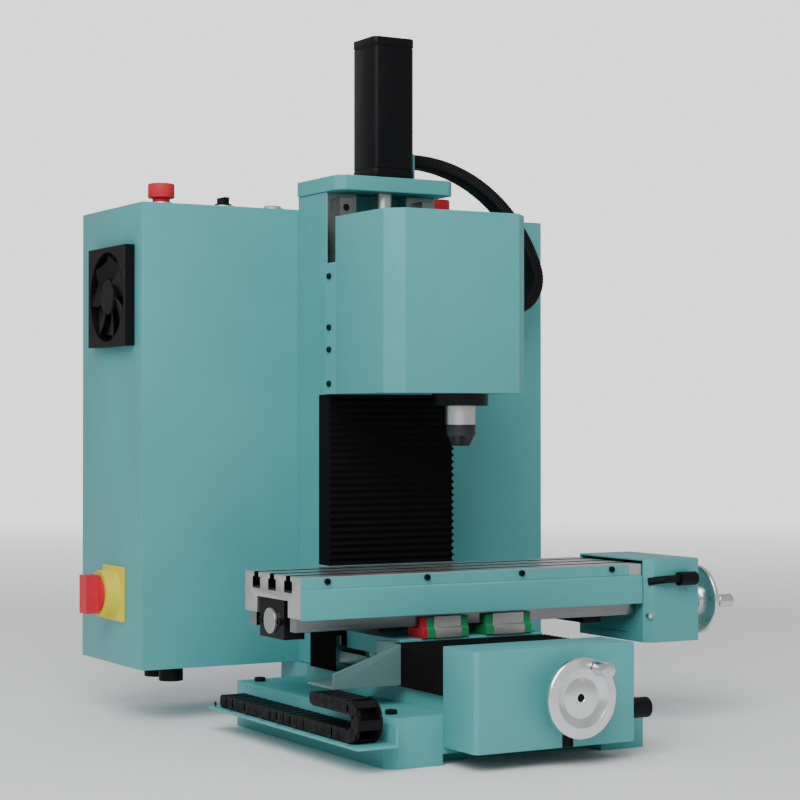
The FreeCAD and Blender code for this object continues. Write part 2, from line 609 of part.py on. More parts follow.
# ---------------------------------------------------------------- table
def make_table():
    """Slotted table on two legs, its guides, screw supports and front cover."""
    low, high = "-table_front", "-table_back"
    corners = [(low, "leg_bottom"), (f"{low} + leg_width", "leg_bottom"),
               (f"{low} + leg_width", "plate_bottom"), (f"{high} - leg_width", "plate_bottom"),
               (f"{high} - leg_width", "leg_bottom"), (high, "leg_bottom"), (high, "table_top")]
    for middle in ("table_middle + slot_offset", "table_middle", "table_middle - slot_offset"):
        neck = "table_top - slot_neck_deep"
        floor = f"{neck} - slot_deep"
        corners += [(f"{middle} + slot_neck / 2", "table_top"),
                    (f"{middle} + slot_neck / 2", neck), (f"{middle} + slot_wide / 2", neck),
                    (f"{middle} + slot_wide / 2", floor), (f"{middle} - slot_wide / 2", floor),
                    (f"{middle} - slot_wide / 2", neck), (f"{middle} - slot_neck / 2", neck),
                    (f"{middle} - slot_neck / 2", "table_top")]
    corners.append((low, "table_top"))
    node(extruded("table_body", "YZ", corners, "-table_half", "table_half"), "table_top")

    rails = [rail(f"x_rail_{side}", "X", middle, "-x_rail_half", "x_rail_half", "leg_bottom", -1)
             for side, middle in (("front", "table_middle - x_rail_offset"),
                                  ("back", "table_middle + x_rail_offset"))]
    node(group("x_rail_pair", rails), "x_rails")

    supports = [support(f"x_support_{end}", "X", ("table_middle", "x_axis_z"), start, 1)
                for end, start in (("left", "-table_half"),
                                   ("right", "table_half - coupling_length - support_thick"
                                             " - x_support_gap"))]
    cap = rod("support_cap", "X", ("-table_half - cap_thick", "table_middle", "x_axis_z"),
              "cap_radius", "cap_thick")
    supports[0] = fuse("x_support_capped", [supports[0], cap])
    node(group("x_support_pair", supports), "x_bearing_blocks")

    face = "-table_front"
    out = f"{face} - cover_sheet"
    profile = [(face, "table_top"), (out, "table_top"), (out, "table_top - cover_strip"),
               (f"{out} - cover_step", "table_top - cover_strip - cover_fold"),
               (f"{out} - cover_step", "leg_bottom - 1"), (face, "leg_bottom - 1")]
    node(extruded("cover_profile", "YZ", profile, "-table_half", "table_half"), "table_cover")
    heads = [screw_head(f"cover_screw_{number}", "Y",
                        (f"-table_half * 0.86 + table_half * 0.5533 * {number}",
                         f"{out} - screw_head_high", "table_top - cover_strip / 2 + cover_fold"))
             for number in range(4)]
    node(group("cover_screw_row", heads), "table_cover_screws")


def make_x_drive():
    """X motor at the table's end, its plate and casing, with the cable at the front."""
    plate = box("x_plate_body", ("table_half", "table_half + motor_plate"),
                ("table_middle - support_width / 2 - plate_margin",
                 "table_middle + support_width / 2 + plate_margin"),
                ("x_axis_z - support_width / 2", "table_top - 2"))
    bore = rod("x_plate_bore", "X", ("table_half - 1", "table_middle", "x_axis_z"),
               "coupling_radius + 2", "motor_plate + 2")
    node(cut("x_plate", plate, [bore]), "x_motor_plate")
    node(motor("x_drive", "X", ("table_middle", "x_axis_z"), "table_half + motor_plate",
               "drive_length", 1), "x_motor")

    shell = chamfered_box("x_casing_outer", ("table_half", "x_casing_right"),
                          ("-x_casing_front", "-x_casing_back"),
                          ("x_casing_bottom", "x_casing_top"), "x_casing_chamfer", {"--"})
    inside = chamfered_box("x_casing_inner",
                           ("table_half - 1", "x_casing_right - casing_sheet"),
                           ("-x_casing_front + casing_sheet", "-x_casing_back - casing_sheet"),
                           ("x_casing_bottom + casing_sheet", "x_casing_top - casing_sheet"),
                           "x_casing_chamfer", {"--"})
    bore = rod("x_casing_bore", "X", ("x_casing_right - casing_sheet - 1", "table_middle",
                                      "x_axis_z"), "shaft_slot / 2", "casing_sheet + 2")
    hole = rod("x_casing_gland_hole", "Y", ("x_casing_right - elbow_bore_back",
                                            "-x_casing_front - 1", "x_casing_top - elbow_drop"),
               "elbow_bore", "casing_sheet + 2")
    hollow = cut("x_casing_hollow", shell, [inside, bore, hole])
    low, side = "x_casing_bottom", ("table_half", "table_half + casing_sheet")
    reach = "(support_width / 2 + plate_margin + plate_clear)"
    walls = [box("x_casing_wall_front", side,
                 ("-x_casing_front + x_casing_chamfer", f"table_middle - {reach}"),
                 (low, "leg_bottom")),
             box("x_casing_wall_back", side,
                 (f"table_middle + {reach}", "-x_casing_back - casing_sheet"),
                 (low, "leg_bottom")),
             box("x_casing_wall_low", side,
                 ("-x_casing_front + x_casing_chamfer", "-x_casing_back - casing_sheet"),
                 (low, "x_axis_z - support_width / 2 - plate_clear"))]
    node(fuse("x_casing_part", [hollow, *walls]), "x_casing")


# ---------------------------------------------------------------- ball screws and handwheels
WHEEL = [("shaft_radius", "0"), ("hub_radius", "0"), ("hub_radius + 3", "2"),
         ("wheel_radius - rim_width", "wheel_depth - rim_depth"),
         ("wheel_radius - rim_edge", "wheel_depth - rim_depth"),
         ("wheel_radius", "wheel_depth - rim_depth + rim_edge"),
         ("wheel_radius", "wheel_depth - rim_edge"), ("wheel_radius - rim_edge", "wheel_depth"),
         ("wheel_radius - rim_width", "wheel_depth"), ("hub_radius + hub_flare", "hub_dish + 1"),
         ("hub_radius", "hub_dish"), ("hub_radius - 2", "hub_length - hub_recess"),
         ("shaft_radius", "hub_length - hub_recess")]

GRIP = [("0", "0"), ("grip_radius - 2", "0"), ("grip_radius", "3"),
        ("grip_radius - 1", "grip_length - 4"), ("grip_radius - 2.5", "grip_length"),
        ("0", "grip_length")]


def make_x_screw():
    """X ball screw with its coupling, the motor shaft and the handwheel on its end."""
    start = "-table_half + 1"
    turn = "table_half - coupling_length - 2"
    joint = "table_half - 2"
    end = "x_casing_right + x_wheel_gap + hub_length - hub_recess"
    profile = [("0", "0"), ("screw_radius", "0"), ("screw_radius", f"{turn} - ({start})"),
               ("coupling_radius", f"{turn} - ({start})"),
               ("coupling_radius", f"{joint} - ({start})"),
               ("shaft_radius", f"{joint} - ({start})"), ("shaft_radius", f"{end} - ({start})"),
               ("0", f"{end} - ({start})")]
    node(turned("x_shaft", "X", (start, "table_middle", "x_axis_z"), profile), "x_ball_screw")
    inner = "x_casing_right + x_wheel_gap"
    node(turned("x_wheel", "X", (inner, "table_middle", "x_axis_z"), WHEEL), "x_handwheel")
    node(turned("x_grip_part", "X", (f"{inner} + wheel_depth", "table_middle - grip_circle",
                                     "x_axis_z"), GRIP), "x_handle_grip")


def make_y_screw():
    """Y ball screw with its coupling, the motor shaft and the handwheel in front."""
    end = "-y_support_back"
    joint = "-base_front + 2"
    turn = "-base_front + 2 + coupling_length"
    start = "casing_front - y_wheel_gap - hub_length + hub_recess"
    profile = [("0", "0"), ("shaft_radius", "0"), ("shaft_radius", f"{joint} - ({start})"),
               ("coupling_radius", f"{joint} - ({start})"),
               ("coupling_radius", f"{turn} - ({start})"),
               ("screw_radius", f"{turn} - ({start})"), ("screw_radius", f"{end} - ({start})"),
               ("0", f"{end} - ({start})")]
    node(turned("y_shaft", "Y", ("0", start, "y_axis_z"), profile), "y_ball_screw")
    inner = "casing_front - y_wheel_gap"
    node(turned("y_wheel", "-Y", ("0", inner, "y_axis_z"), WHEEL), "y_handwheel")
    node(turned("y_grip_part", "-Y", ("grip_circle * cos(grip_turn * 1deg)",
                                      f"{inner} - wheel_depth",
                                      "y_axis_z + grip_circle * sin(grip_turn * 1deg)"), GRIP),
         "y_handle_grip")


def make_z_screw():
    """Z ball screw with its coupling and the motor shaft above it."""
    start = "z_rail_low + 2"
    turn = "z_rail_high - z_coupling_drop"
    joint = f"{turn} + coupling_length"
    end = "plate_top + z_screw_rise"
    profile = [("0", "0"), ("z_screw_radius", "0"), ("z_screw_radius", f"{turn} - ({start})"),
               ("coupling_radius", f"{turn} - ({start})"),
               ("coupling_radius", f"{joint} - ({start})"),
               ("shaft_radius", f"{joint} - ({start})"), ("shaft_radius", f"{end} - ({start})"),
               ("0", f"{end} - ({start})")]
    node(turned("z_shaft", "Z", ("0", "0", start), profile), "z_ball_screw")


# ---------------------------------------------------------------- head
def make_head():
    """Carriage plate, guide blocks, spindle housing with its motor, and the cover."""
    plate = box("carriage_body", ("-head_half", "head_half"), ("carriage_front", "z_mount_y"),
                ("head_bottom", "carriage_top"))
    nut = box("z_nut_body", ("-nut_half", "nut_half"), ("z_mount_y - 1", "channel_floor - 6"),
              ("head_bottom + z_nut_rise", "head_bottom + z_nut_rise + nut_length"))
    bore = rod("z_nut_bore", "Z", ("0", "0", "head_bottom + 49"),
               "z_screw_radius + bore_clear", "nut_length + 2")
    arm = box("conduit_arm", ("head_half - 1", "head_half + arm_sheet"),
              ("carriage_front", "conduit_y + conduit_wide / 2"),
              ("conduit_end_z - anchor_reach", "conduit_end_z + anchor_reach"))
    node(cut("carriage_part", fuse("carriage_solid", [plate, nut, arm]), [bore]), "z_carriage")

    blocks = []
    for end, centre in (("low", "z_block_low + block_length / 2"),
                        ("high", "z_block_low + block_length / 2 + z_block_pitch")):
        for side, middle in (("left", "-z_rail_offset"), ("right", "z_rail_offset")):
            blocks.append(rail_block(f"z_block_{end}_{side}", "Z", middle, centre,
                                     "column_front", -1))
    node(group("z_block_set", blocks), "z_rail_blocks")

    housing = box("spindle_body", ("spindle_x - spindle_box", "spindle_x + spindle_box"),
                  ("-spindle_y - spindle_box", "carriage_front"),
                  ("head_bottom + casing_sheet + 0.5", "spindle_box_top"))
    flange = rod("spindle_flange_disc", "Z", ("spindle_x", "-spindle_y", "spindle_flange"),
                 "flange_radius", "flange_thick + casing_sheet + 1")
    bore = rod("spindle_bore", "Z", ("spindle_x", "-spindle_y", "spindle_flange - 1"),
               "nose_radius + guide_clear", "spindle_box_top - spindle_flange + 2")
    node(cut("spindle_block", fuse("spindle_solid", [housing, flange]), [bore]),
         "spindle_housing")

    case = rod("spindle_motor_case", "Z", ("spindle_x", "-spindle_y", "spindle_box_top"),
               "spindle_motor_radius", "spindle_motor_top - spindle_box_top")
    space = rod("spindle_motor_space", "Z", ("spindle_x", "-spindle_y", "spindle_box_top - 1"),
                "coupling_radius + 4", "coupling_length + 5")
    node(cut("spindle_drive", case, [space]), "spindle_motor")

    profile = [("0", "0"), ("nose_radius", "0"),
               ("nose_radius", "spindle_box_top - nose_bottom"),
               ("coupling_radius", "spindle_box_top - nose_bottom"),
               ("coupling_radius", "spindle_box_top - nose_bottom + coupling_length"),
               ("0", "spindle_box_top - nose_bottom + coupling_length")]
    node(turned("spindle_turning", "Z", ("spindle_x", "-spindle_y", "nose_bottom"), profile),
         "spindle_shaft")
    profile = [("collet_radius", "0"), ("nut_radius - 6.5", "0"), ("nut_radius", "nut_taper"),
               ("nut_radius", "nut_taper + nut_thick"), ("collet_radius", "nut_taper + nut_thick")]
    node(turned("collet_turning", "Z", ("spindle_x", "-spindle_y", "nut_bottom - nut_taper"),
                profile), "collet_nut")

    outer = chamfered_box("cover_outer", ("-head_half", "cover_right"),
                          ("-cover_front", "carriage_front"), ("head_bottom", "cover_top"),
                          "cover_chamfer", {"--", "+-"})
    inner = chamfered_box("cover_inner", ("-head_half + casing_sheet",
                                          "cover_right - casing_sheet"),
                          ("-cover_front + casing_sheet", "carriage_front + 1"),
                          ("head_bottom + casing_sheet", "cover_top - casing_sheet"),
                          "cover_chamfer", {"--", "+-"})
    mouth = rod("cover_mouth", "Z", ("spindle_x", "-spindle_y", "head_bottom - 1"),
                "flange_radius + bore_clear", "casing_sheet + 2")
    node(cut("cover_part", outer, [inner, mouth]), "head_cover")
    heads = [screw_head(f"head_screw_{number}", "X",
                        ("-head_half - screw_head_high", "(carriage_front + z_mount_y) / 2",
                         f"head_bottom + {height}"))
             for number, height in enumerate((12, 52, 78, 138))]
    node(group("head_screw_row", heads), "head_screws")


# ---------------------------------------------------------------- bellows and cable carriers
def make_soft_parts():
    """Bellows and cable carriers as plain closed solids of their resting shape."""
    wall = "bellows_wall"
    hoop = [("-casing_left", "bellows_bottom"), (f"-casing_left + {wall}", "bellows_bottom"),
            (f"-casing_left + {wall}", f"y_bellows_top - {wall}"),
            (f"casing_right - {wall}", f"y_bellows_top - {wall}"),
            (f"casing_right - {wall}", "bellows_bottom"), ("casing_right", "bellows_bottom"),
            ("casing_right", "y_bellows_top"), ("-casing_left", "y_bellows_top")]
    front = extruded("bellows_front", "XZ", hoop, "-base_front", "-saddle_front - fold_clear")
    back = extruded("bellows_back", "XZ", hoop, "-saddle_back + fold_clear",
                    "column_front - z_bellows_deep - 3")
    node(group("bellows_pair", [front, back]), "y_bellows")

    half, deep = "z_bellows_half", "column_front - z_bellows_deep"
    face = "column_front - fold_clear"
    hoop = [(f"-{half}", face), (f"-{half}", deep), (half, deep), (half, face),
            (f"{half} - {wall}", face), (f"{half} - {wall}", f"{deep} + {wall}"),
            (f"-{half} + {wall}", f"{deep} + {wall}"), (f"-{half} + {wall}", face)]
    node(extruded("bellows_upright", "XY", hoop, "apron_top", "head_bottom - fold_clear"),
         "z_bellows")

    centre = "-chain_front + chain_bend"
    low = "tray_top"
    span = ("chain_x - chain_wide / 2", "chain_x + chain_wide / 2")
    lower = box("chain_lower", span, (centre, "-10"), (low, f"{low} + chain_thick"))
    upper = box("chain_upper", span, (centre, "-chain_back"),
                (f"{low} + 2 * chain_bend - chain_thick", f"{low} + 2 * chain_bend"))
    start = ("chain_x - chain_wide / 2", centre, f"{low} + chain_bend")
    ring = rod("chain_ring", "X", start, "chain_bend", "chain_wide", "180")
    hole = rod("chain_ring_hole", "X", start, "chain_bend - chain_thick", "chain_wide", "180")
    for half_ring in (ring, hole):
        half_ring.Placement.Rotation = TURN["X"].multiply(FreeCAD.Rotation(V(0, 0, 1), 180))
    bend = cut("chain_bend_part", ring, [hole])
    node(fuse("chain_part", [lower, bend, upper]), "y_cable_chain")

    side = "conduit_y - conduit_wide / 2"
    lean = DIMS["conduit_angle"]
    arcs = []
    for name, x, z, radius, sweep, turn in (
            ("big", "conduit_start", "conduit_level - conduit_big", "conduit_big",
             "conduit_angle", -90),
            ("small", "conduit_low_x", "conduit_low_z", "conduit_small",
             "180 - conduit_angle", lean - 90)):
        pair = []
        for part, offset in (("outer", "+"), ("inner", "-")):
            arc = rod(f"conduit_{name}_{part}", "Y", (x, side, z),
                      f"{radius} {offset} conduit_thick / 2", "conduit_wide", sweep)
            arc.Placement.Rotation = TURN["Y"].multiply(FreeCAD.Rotation(V(0, 0, 1), turn))
            pair.append(arc)
        arcs.append(cut(f"conduit_{name}", pair[0], [pair[1]]))
    run = box("conduit_run", ("head_half + arm_sheet", "conduit_low_x"),
              (side, "conduit_y + conduit_wide / 2"),
              ("conduit_end_z - conduit_thick / 2", "conduit_end_z + conduit_thick / 2"))
    node(fuse("conduit_part", arcs + [run]), "z_cable_conduit")


# ---------------------------------------------------------------- cabinet
def make_cabinet():
    """Sheet steel cabinet on the back of the column, with what it holds."""
    half, sheet = "cabinet_half", "cabinet_sheet"
    outer = box("cabinet_outer", (f"-{half}", half), ("column_back", "cabinet_back"),
                ("foot_top", "cabinet_top"))
    inner = box("cabinet_inner", (f"-{half} + {sheet}", f"{half} - {sheet}"),
                (f"column_back + {sheet}", "cabinet_back + 1"),
                (f"foot_top + {sheet}", f"cabinet_top - {sheet}"))
    holes = [rod("cabinet_fan_hole", "X", (f"-{half} - 1", "fan_y", "fan_z"), "fan_hole",
                 f"{sheet} + 2")]
    for number, x in enumerate(("-stop_x", "-selector_x", "-start_x", "spare_x")):
        holes.append(rod(f"cabinet_button_hole_{number}", "Z",
                         (x, "button_y", f"cabinet_top - {sheet} - 1"), "bezel_bore",
                         f"{sheet} + 2"))
    node(cut("cabinet_part", outer, [inner] + holes), "cabinet_shell")
    node(box("door_part", (f"-{half}", half), ("cabinet_back", "cabinet_back + door_sheet"),
             ("foot_top", "cabinet_top")), "cabinet_door")

    front = f"cabinet_back - rack_gap - rack_sheet"
    rack = box("rack_body", (f"-{half} + rack_margin", f"{half} - rack_margin"),
               (front, f"{front} + rack_sheet"),
               ("foot_top + rack_margin", "cabinet_top - rack_margin"))
    legs = [box(f"rack_leg_{number}", (x, f"{x} + 12"), (f"{front} + rack_sheet - 1",
                                                        "cabinet_back"), (z, f"{z} + 12"))
            for number, (x, z) in enumerate((
                (f"-{half} + rack_margin", "foot_top + rack_margin"),
                (f"{half} - rack_margin - 12", "foot_top + rack_margin"),
                (f"-{half} + rack_margin", "cabinet_top - rack_margin - 12"),
                (f"{half} - rack_margin - 12", "cabinet_top - rack_margin - 12")))]
    node(fuse("rack_part", [rack] + legs), "mounting_plate")
    node(box("supply_part", ("-210", "-95"), (f"{front} - 50", front), ("130", "345")),
         "power_supply")
    drivers = [box(f"driver_{number}", (f"-40 + 70 * {number}", f"-5 + 70 * {number}"),
                   (f"{front} - 75", front), ("180", "300"))
               for number in range(4)]
    node(group("driver_row", drivers), "motor_drivers")
    node(box("board_part", ("-60", "120"), (f"{front} - 32", front), ("380", "500")),
         "control_unit")


def make_fan():
    """Exhaust fan on the cabinet's left side."""
    wall, half = "-cabinet_half", "fan_square / 2"
    square = box("fan_body", (f"{wall} - fan_thick", wall), (f"fan_y - {half}", f"fan_y + {half}"),
                 (f"fan_z - {half}", f"fan_z + {half}"))
    bore = rod("fan_bore", "X", (f"{wall} - fan_thick - 1", "fan_y", "fan_z"), "fan_hole",
               "fan_thick + 2")
    ring = cut("fan_ring", square, [bore])
    struts = [box("fan_strut_flat", (f"{wall} - 3", wall), ("fan_y - fan_hole", "fan_y + fan_hole"),
                  ("fan_z - 3", "fan_z + 3")),
              box("fan_strut_tall", (f"{wall} - 3", wall), ("fan_y - 3", "fan_y + 3"),
                  ("fan_z - fan_hole", "fan_z + fan_hole")),
              rod("fan_seat", "X", (f"{wall} - 3", "fan_y", "fan_z"), "fan_hub", "3")]
    node(fuse("fan_part", [ring] + struts), "fan_frame")

    hub = rod("fan_hub_body", "X", (f"{wall} - fan_thick + 0.5", "fan_y", "fan_z"), "fan_hub",
              "fan_thick - 3.8")
    blades = []
    for number in range(DIMS["blade_count"]):
        turn = FreeCAD.Rotation(V(1, 0, 0), 360.0 * number / DIMS["blade_count"])
        tilt = turn.multiply(FreeCAD.Rotation(V(0, 0, 1), 90 - DIMS["blade_tilt"]))
        blade = DOC.addObject("Part::Box", f"fan_blade_{number}")
        bind(blade, Length="blade_width", Width="blade_thick", Height="fan_hole - fan_hub - 1")
        reach = turn.multVec(V(0, 0, DIMS["fan_hub"] - 3))
        back = tilt.multVec(V(-DIMS["blade_width"] / 2, -DIMS["blade_thick"] / 2, 0))
        blade.Placement.Rotation = tilt
        middle = f"{wall} - fan_thick + 0.5 + (fan_thick - 3.8) / 2"
        place(blade, f"{middle} + {reach.x + back.x:.4f}", f"fan_y + {reach.y + back.y:.4f}",
              f"fan_z + {reach.z + back.z:.4f}")
        blades.append(blade)
    node(fuse("rotor_part", [hub] + blades), "fan_rotor")


def make_controls():
    """Main switch on the left side and the push-buttons on top of the cabinet."""
    wall, half = "-cabinet_half", "switch_square / 2"
    plate = box("switch_back", (f"{wall} - switch_plate", wall),
                (f"switch_y - {half}", f"switch_y + {half}"),
                (f"switch_z - {half}", f"switch_z + {half}"))
    collar = rod("switch_ring", "X", (f"{wall} - switch_plate - switch_collar_deep", "switch_y",
                                      "switch_z"), "switch_collar", "switch_collar_deep + 1")
    node(fuse("switch_part", [plate, collar]), "switch_plate")
    face = f"{wall} - switch_plate - switch_collar_deep - 0.3"
    disc = rod("knob_disc", "X", (f"{face} - 4", "switch_y", "switch_z"), "knob_long / 2 - 2", "4")
    bar = box("knob_bar", (f"{face} - knob_deep", f"{face} - 3"),
              ("switch_y - knob_wide / 2", "switch_y + knob_wide / 2"),
              ("switch_z - knob_long / 2", "switch_z + knob_long / 2"))
    node(fuse("knob_part", [disc, bar]), "main_switch_knob")

    bezels = []
    for name, x in (("stop", "-stop_x"), ("selector", "-selector_x"), ("start", "-start_x"),
                    ("spare", "spare_x")):
        ring = rod(f"bezel_{name}", "Z", (x, "button_y", "cabinet_top"), "bezel_radius",
                   "bezel_height")
        bore = rod(f"bezel_{name}_bore", "Z", (x, "button_y", "cabinet_top - 1"), "bezel_bore",
                   "bezel_height + 2")
        bezels.append(cut(f"bezel_{name}_ring", ring, [bore]))
    node(group("bezel_set", bezels), "button_bezels")

    low = "cabinet_top - stem_depth"
    for name, x in (("stop", "-stop_x"), ("reset", "spare_x")):
        stem = rod(f"{name}_stem", "Z", (x, "button_y", low), "button_radius",
                   "bezel_height + stem_rise")
        head = rod(f"{name}_head", "Z", (x, "button_y", "cabinet_top + bezel_height + head_gap"),
                   "stop_radius", "stop_height - stem_depth")
        node(fuse(f"{name}_part", [stem, head]), f"{name}_button")
    disc = rod("selector_disc", "Z", ("-selector_x", "button_y", low), "button_radius",
               "bezel_height + selector_rise")
    lever = box("selector_lever", ("-selector_x - lever_half", "-selector_x + lever_half"),
                ("button_y - button_radius", "button_y + button_radius"),
                ("cabinet_top + head_gap", "cabinet_top + lever_top"))
    node(fuse("selector_part", [disc, lever]), "selector_knob")
    node(rod("start_body", "Z", ("-start_x", "button_y", low), "button_radius",
             "button_height + stem_depth"), "start_button")


# ---------------------------------------------------------------- glands and the X cable
def cord(points, radius):
    """A round cord along straight runs joined by tangent arcs."""
    points = [V(*p) for p in points]
    edges = []
    here = points[0]
    for before, corner, after in zip(points, points[1:], points[2:]):
        into = (corner - before).normalize()
        out = (after - corner).normalize()
        turn = into.getAngle(out)
        run = 0.45 * min((corner - before).Length, (after - corner).Length)
        bend = run / math.tan(turn / 2)
        enter = corner - into * run
        leave = corner + out * run
        inward = (out - into).normalize()
        reach = bend / math.cos(turn / 2)
        middle = corner + inward * (reach - bend)
        edges.append(Part.LineSegment(here, enter).toShape())
        edges.append(Part.Arc(enter, middle, leave).toShape())
        here = leave
    edges.append(Part.LineSegment(here, points[-1]).toShape())
    wire = Part.Wire(edges)
    section = Part.Wire([Part.makeCircle(radius, points[0], points[1] - points[0])])
    solid = wire.makePipeShell([section], True, False, 2)
    return solid, wire.Length


def make_cables():
    """Glands of the cabinet and the front casing, and the short cable of the X motor."""
    glands = [rod("gland_casing", "X", ("casing_right", "casing_front + casing_gland_back",
                                        "casing_gland_level"),
                  "gland_radius", "casing_gland_length"),
              rod("gland_cabinet_front", "Z",
                  ("-cabinet_half + gland_inset", "column_back + gland_first",
                   "foot_top - gland_length"),
                  "cabinet_gland", "gland_length"),
              rod("gland_cabinet_back", "Z",
                  ("-cabinet_half + gland_inset + gland_step", "column_back + gland_second",
                   "foot_top - gland_length"),
                  "cabinet_gland", "gland_length")]
    node(group("gland_set", glands), "cable_glands")

    wall, level = "-x_casing_front", "x_casing_top - elbow_drop"
    barrel = rod("elbow_barrel", "X",
                 ("x_casing_right - elbow_back", f"{wall} - elbow_radius", level),
                 "elbow_radius", "elbow_length")
    stub = rod("elbow_stub", "Y",
               ("x_casing_right - elbow_bore_back", f"{wall} - elbow_radius", level),
               "elbow_stub_radius", "elbow_radius + casing_sheet + 1")
    node(fuse("elbow_part", [barrel, stub]), "x_cable_elbow")

    right = DIMS["table_half"] + DIMS["x_casing_length"] - DIMS["elbow_back"]
    front = -DIMS["x_casing_front"]
    height = DIMS["x_casing_top"] - DIMS["elbow_drop"]
    corner = DIMS["table_half"] + DIMS["x_casing_chamfer"] / 2
    outside = front - DIMS["elbow_radius"]
    exit_y = front + DIMS["x_casing_chamfer"] / 2
    points = [(right, outside, height), (corner + 14, outside, height),
              (corner, exit_y, height - 3)]
    solid, length = cord(points, DIMS["cable_radius"])
    section = math.pi * DIMS["cable_radius"] ** 2
    print(f"x_cable: length {length:.1f} mm, volume over section times length "
          f"{solid.Volume / (section * length):.4f}")
    cable = DOC.addObject("Part::Feature", "cable_part")
    cable.Shape = solid
    node(cable, "x_cable")


# ---------------------------------------------------------------- checks and files
def check():
    """Stop if any object failed or any sub-part is empty, invalid or misnamed."""
    DOC.recompute()
    for obj in DOC.Objects:
        if "Invalid" in obj.State or "Error" in obj.State:
            raise RuntimeError(f"{obj.Name} failed: {obj.State}")
    for obj in NODES:
        shape = obj.Shape
        if shape.isNull() or not shape.isValid() or not shape.Solids:
            raise RuntimeError(f"{obj.Label} has no valid solid")


def write_files():
    """Write each sub-part to parts/NODE.step."""
    os.makedirs("parts", exist_ok=True)
    for obj in NODES:
        obj.Shape.exportStep(f"parts/{obj.Label}.step")
    print(len(NODES), "sub-parts written")


def main():
    """Build every sub-assembly, check it and write it."""
    make_base()
    make_tray()
    make_column()
    make_guides()
    make_y_drive()
    make_saddle()
    make_table()
    make_x_drive()
    make_x_screw()
    make_y_screw()
    make_z_screw()
    make_head()
    make_soft_parts()
    make_cabinet()
    make_fan()
    make_controls()
    make_cables()
    check()
    write_files()


main()
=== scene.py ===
"""Looks of a small vertical milling machine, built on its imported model.

Every length is in metres in the model's frame: +X to the operator's right, +Y to the back and
+Z up.  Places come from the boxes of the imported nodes, so the pieces follow the model.
"""
import logging
import math
from dataclasses import dataclass
from enum import Enum
from typing import Iterable, Optional, Sequence

import bmesh
import bpy
from mathutils import Matrix, Vector


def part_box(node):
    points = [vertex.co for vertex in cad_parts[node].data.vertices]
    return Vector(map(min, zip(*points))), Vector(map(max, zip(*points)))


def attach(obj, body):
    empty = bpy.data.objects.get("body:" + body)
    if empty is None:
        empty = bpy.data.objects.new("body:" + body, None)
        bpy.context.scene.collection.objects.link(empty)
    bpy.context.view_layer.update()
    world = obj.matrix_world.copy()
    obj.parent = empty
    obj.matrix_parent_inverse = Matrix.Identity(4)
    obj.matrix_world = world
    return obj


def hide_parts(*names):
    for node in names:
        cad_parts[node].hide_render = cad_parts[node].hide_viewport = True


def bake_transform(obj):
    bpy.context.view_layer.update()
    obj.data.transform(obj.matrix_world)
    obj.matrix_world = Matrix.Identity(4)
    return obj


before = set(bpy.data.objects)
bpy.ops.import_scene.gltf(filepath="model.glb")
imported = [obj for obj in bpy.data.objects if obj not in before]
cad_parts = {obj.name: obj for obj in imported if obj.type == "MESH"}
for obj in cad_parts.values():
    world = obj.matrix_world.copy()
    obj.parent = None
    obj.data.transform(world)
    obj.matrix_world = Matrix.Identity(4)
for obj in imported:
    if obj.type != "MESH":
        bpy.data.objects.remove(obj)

LOG = logging.getLogger("milling_machine")
Point = tuple[float, float, float]
Colour = tuple[float, float, float]


# ------------------------------------------------------------------ shader building
class Value:
    """A number socket that adds Math nodes when it is used in an expression."""

    def __init__(self, recipe: "Recipe", socket: bpy.types.NodeSocket) -> None:
        """Wrap a socket of a recipe's node tree."""
        self.recipe = recipe
        self.socket = socket

    def _math(self, operation: str, first: object, second: object) -> "Value":
        """Add one Math node.

        Args:
            operation: The node's operation, such as "MULTIPLY".
            first: A number or a Value.
            second: A number or a Value.

        Returns:
            The node's result as a Value.
        """
        node = self.recipe.add("ShaderNodeMath", {"operation": operation}, {0: first, 1: second})
        return Value(self.recipe, node.outputs[0])

    def __add__(self, other: object) -> "Value":
        """Sum."""
        return self._math("ADD", self, other)

    __radd__ = __add__

    def __sub__(self, other: object) -> "Value":
        """Difference."""
        return self._math("SUBTRACT", self, other)

    def __rsub__(self, other: object) -> "Value":
        """Reflected difference."""
        return self._math("SUBTRACT", other, self)

    def __mul__(self, other: object) -> "Value":
        """Product."""
        return self._math("MULTIPLY", self, other)

    __rmul__ = __mul__

    def __truediv__(self, other: object) -> "Value":
        """Quotient."""
        return self._math("DIVIDE", self, other)

    def power(self, exponent: float) -> "Value":
        """Raise to a power."""
        return self._math("POWER", self, exponent)

    def absolute(self) -> "Value":
        """Distance from zero."""
        return self._math("ABSOLUTE", self, 0.0)

    def sine(self) -> "Value":
        """Sine of the value in radians."""
        return self._math("SINE", self, 0.0)


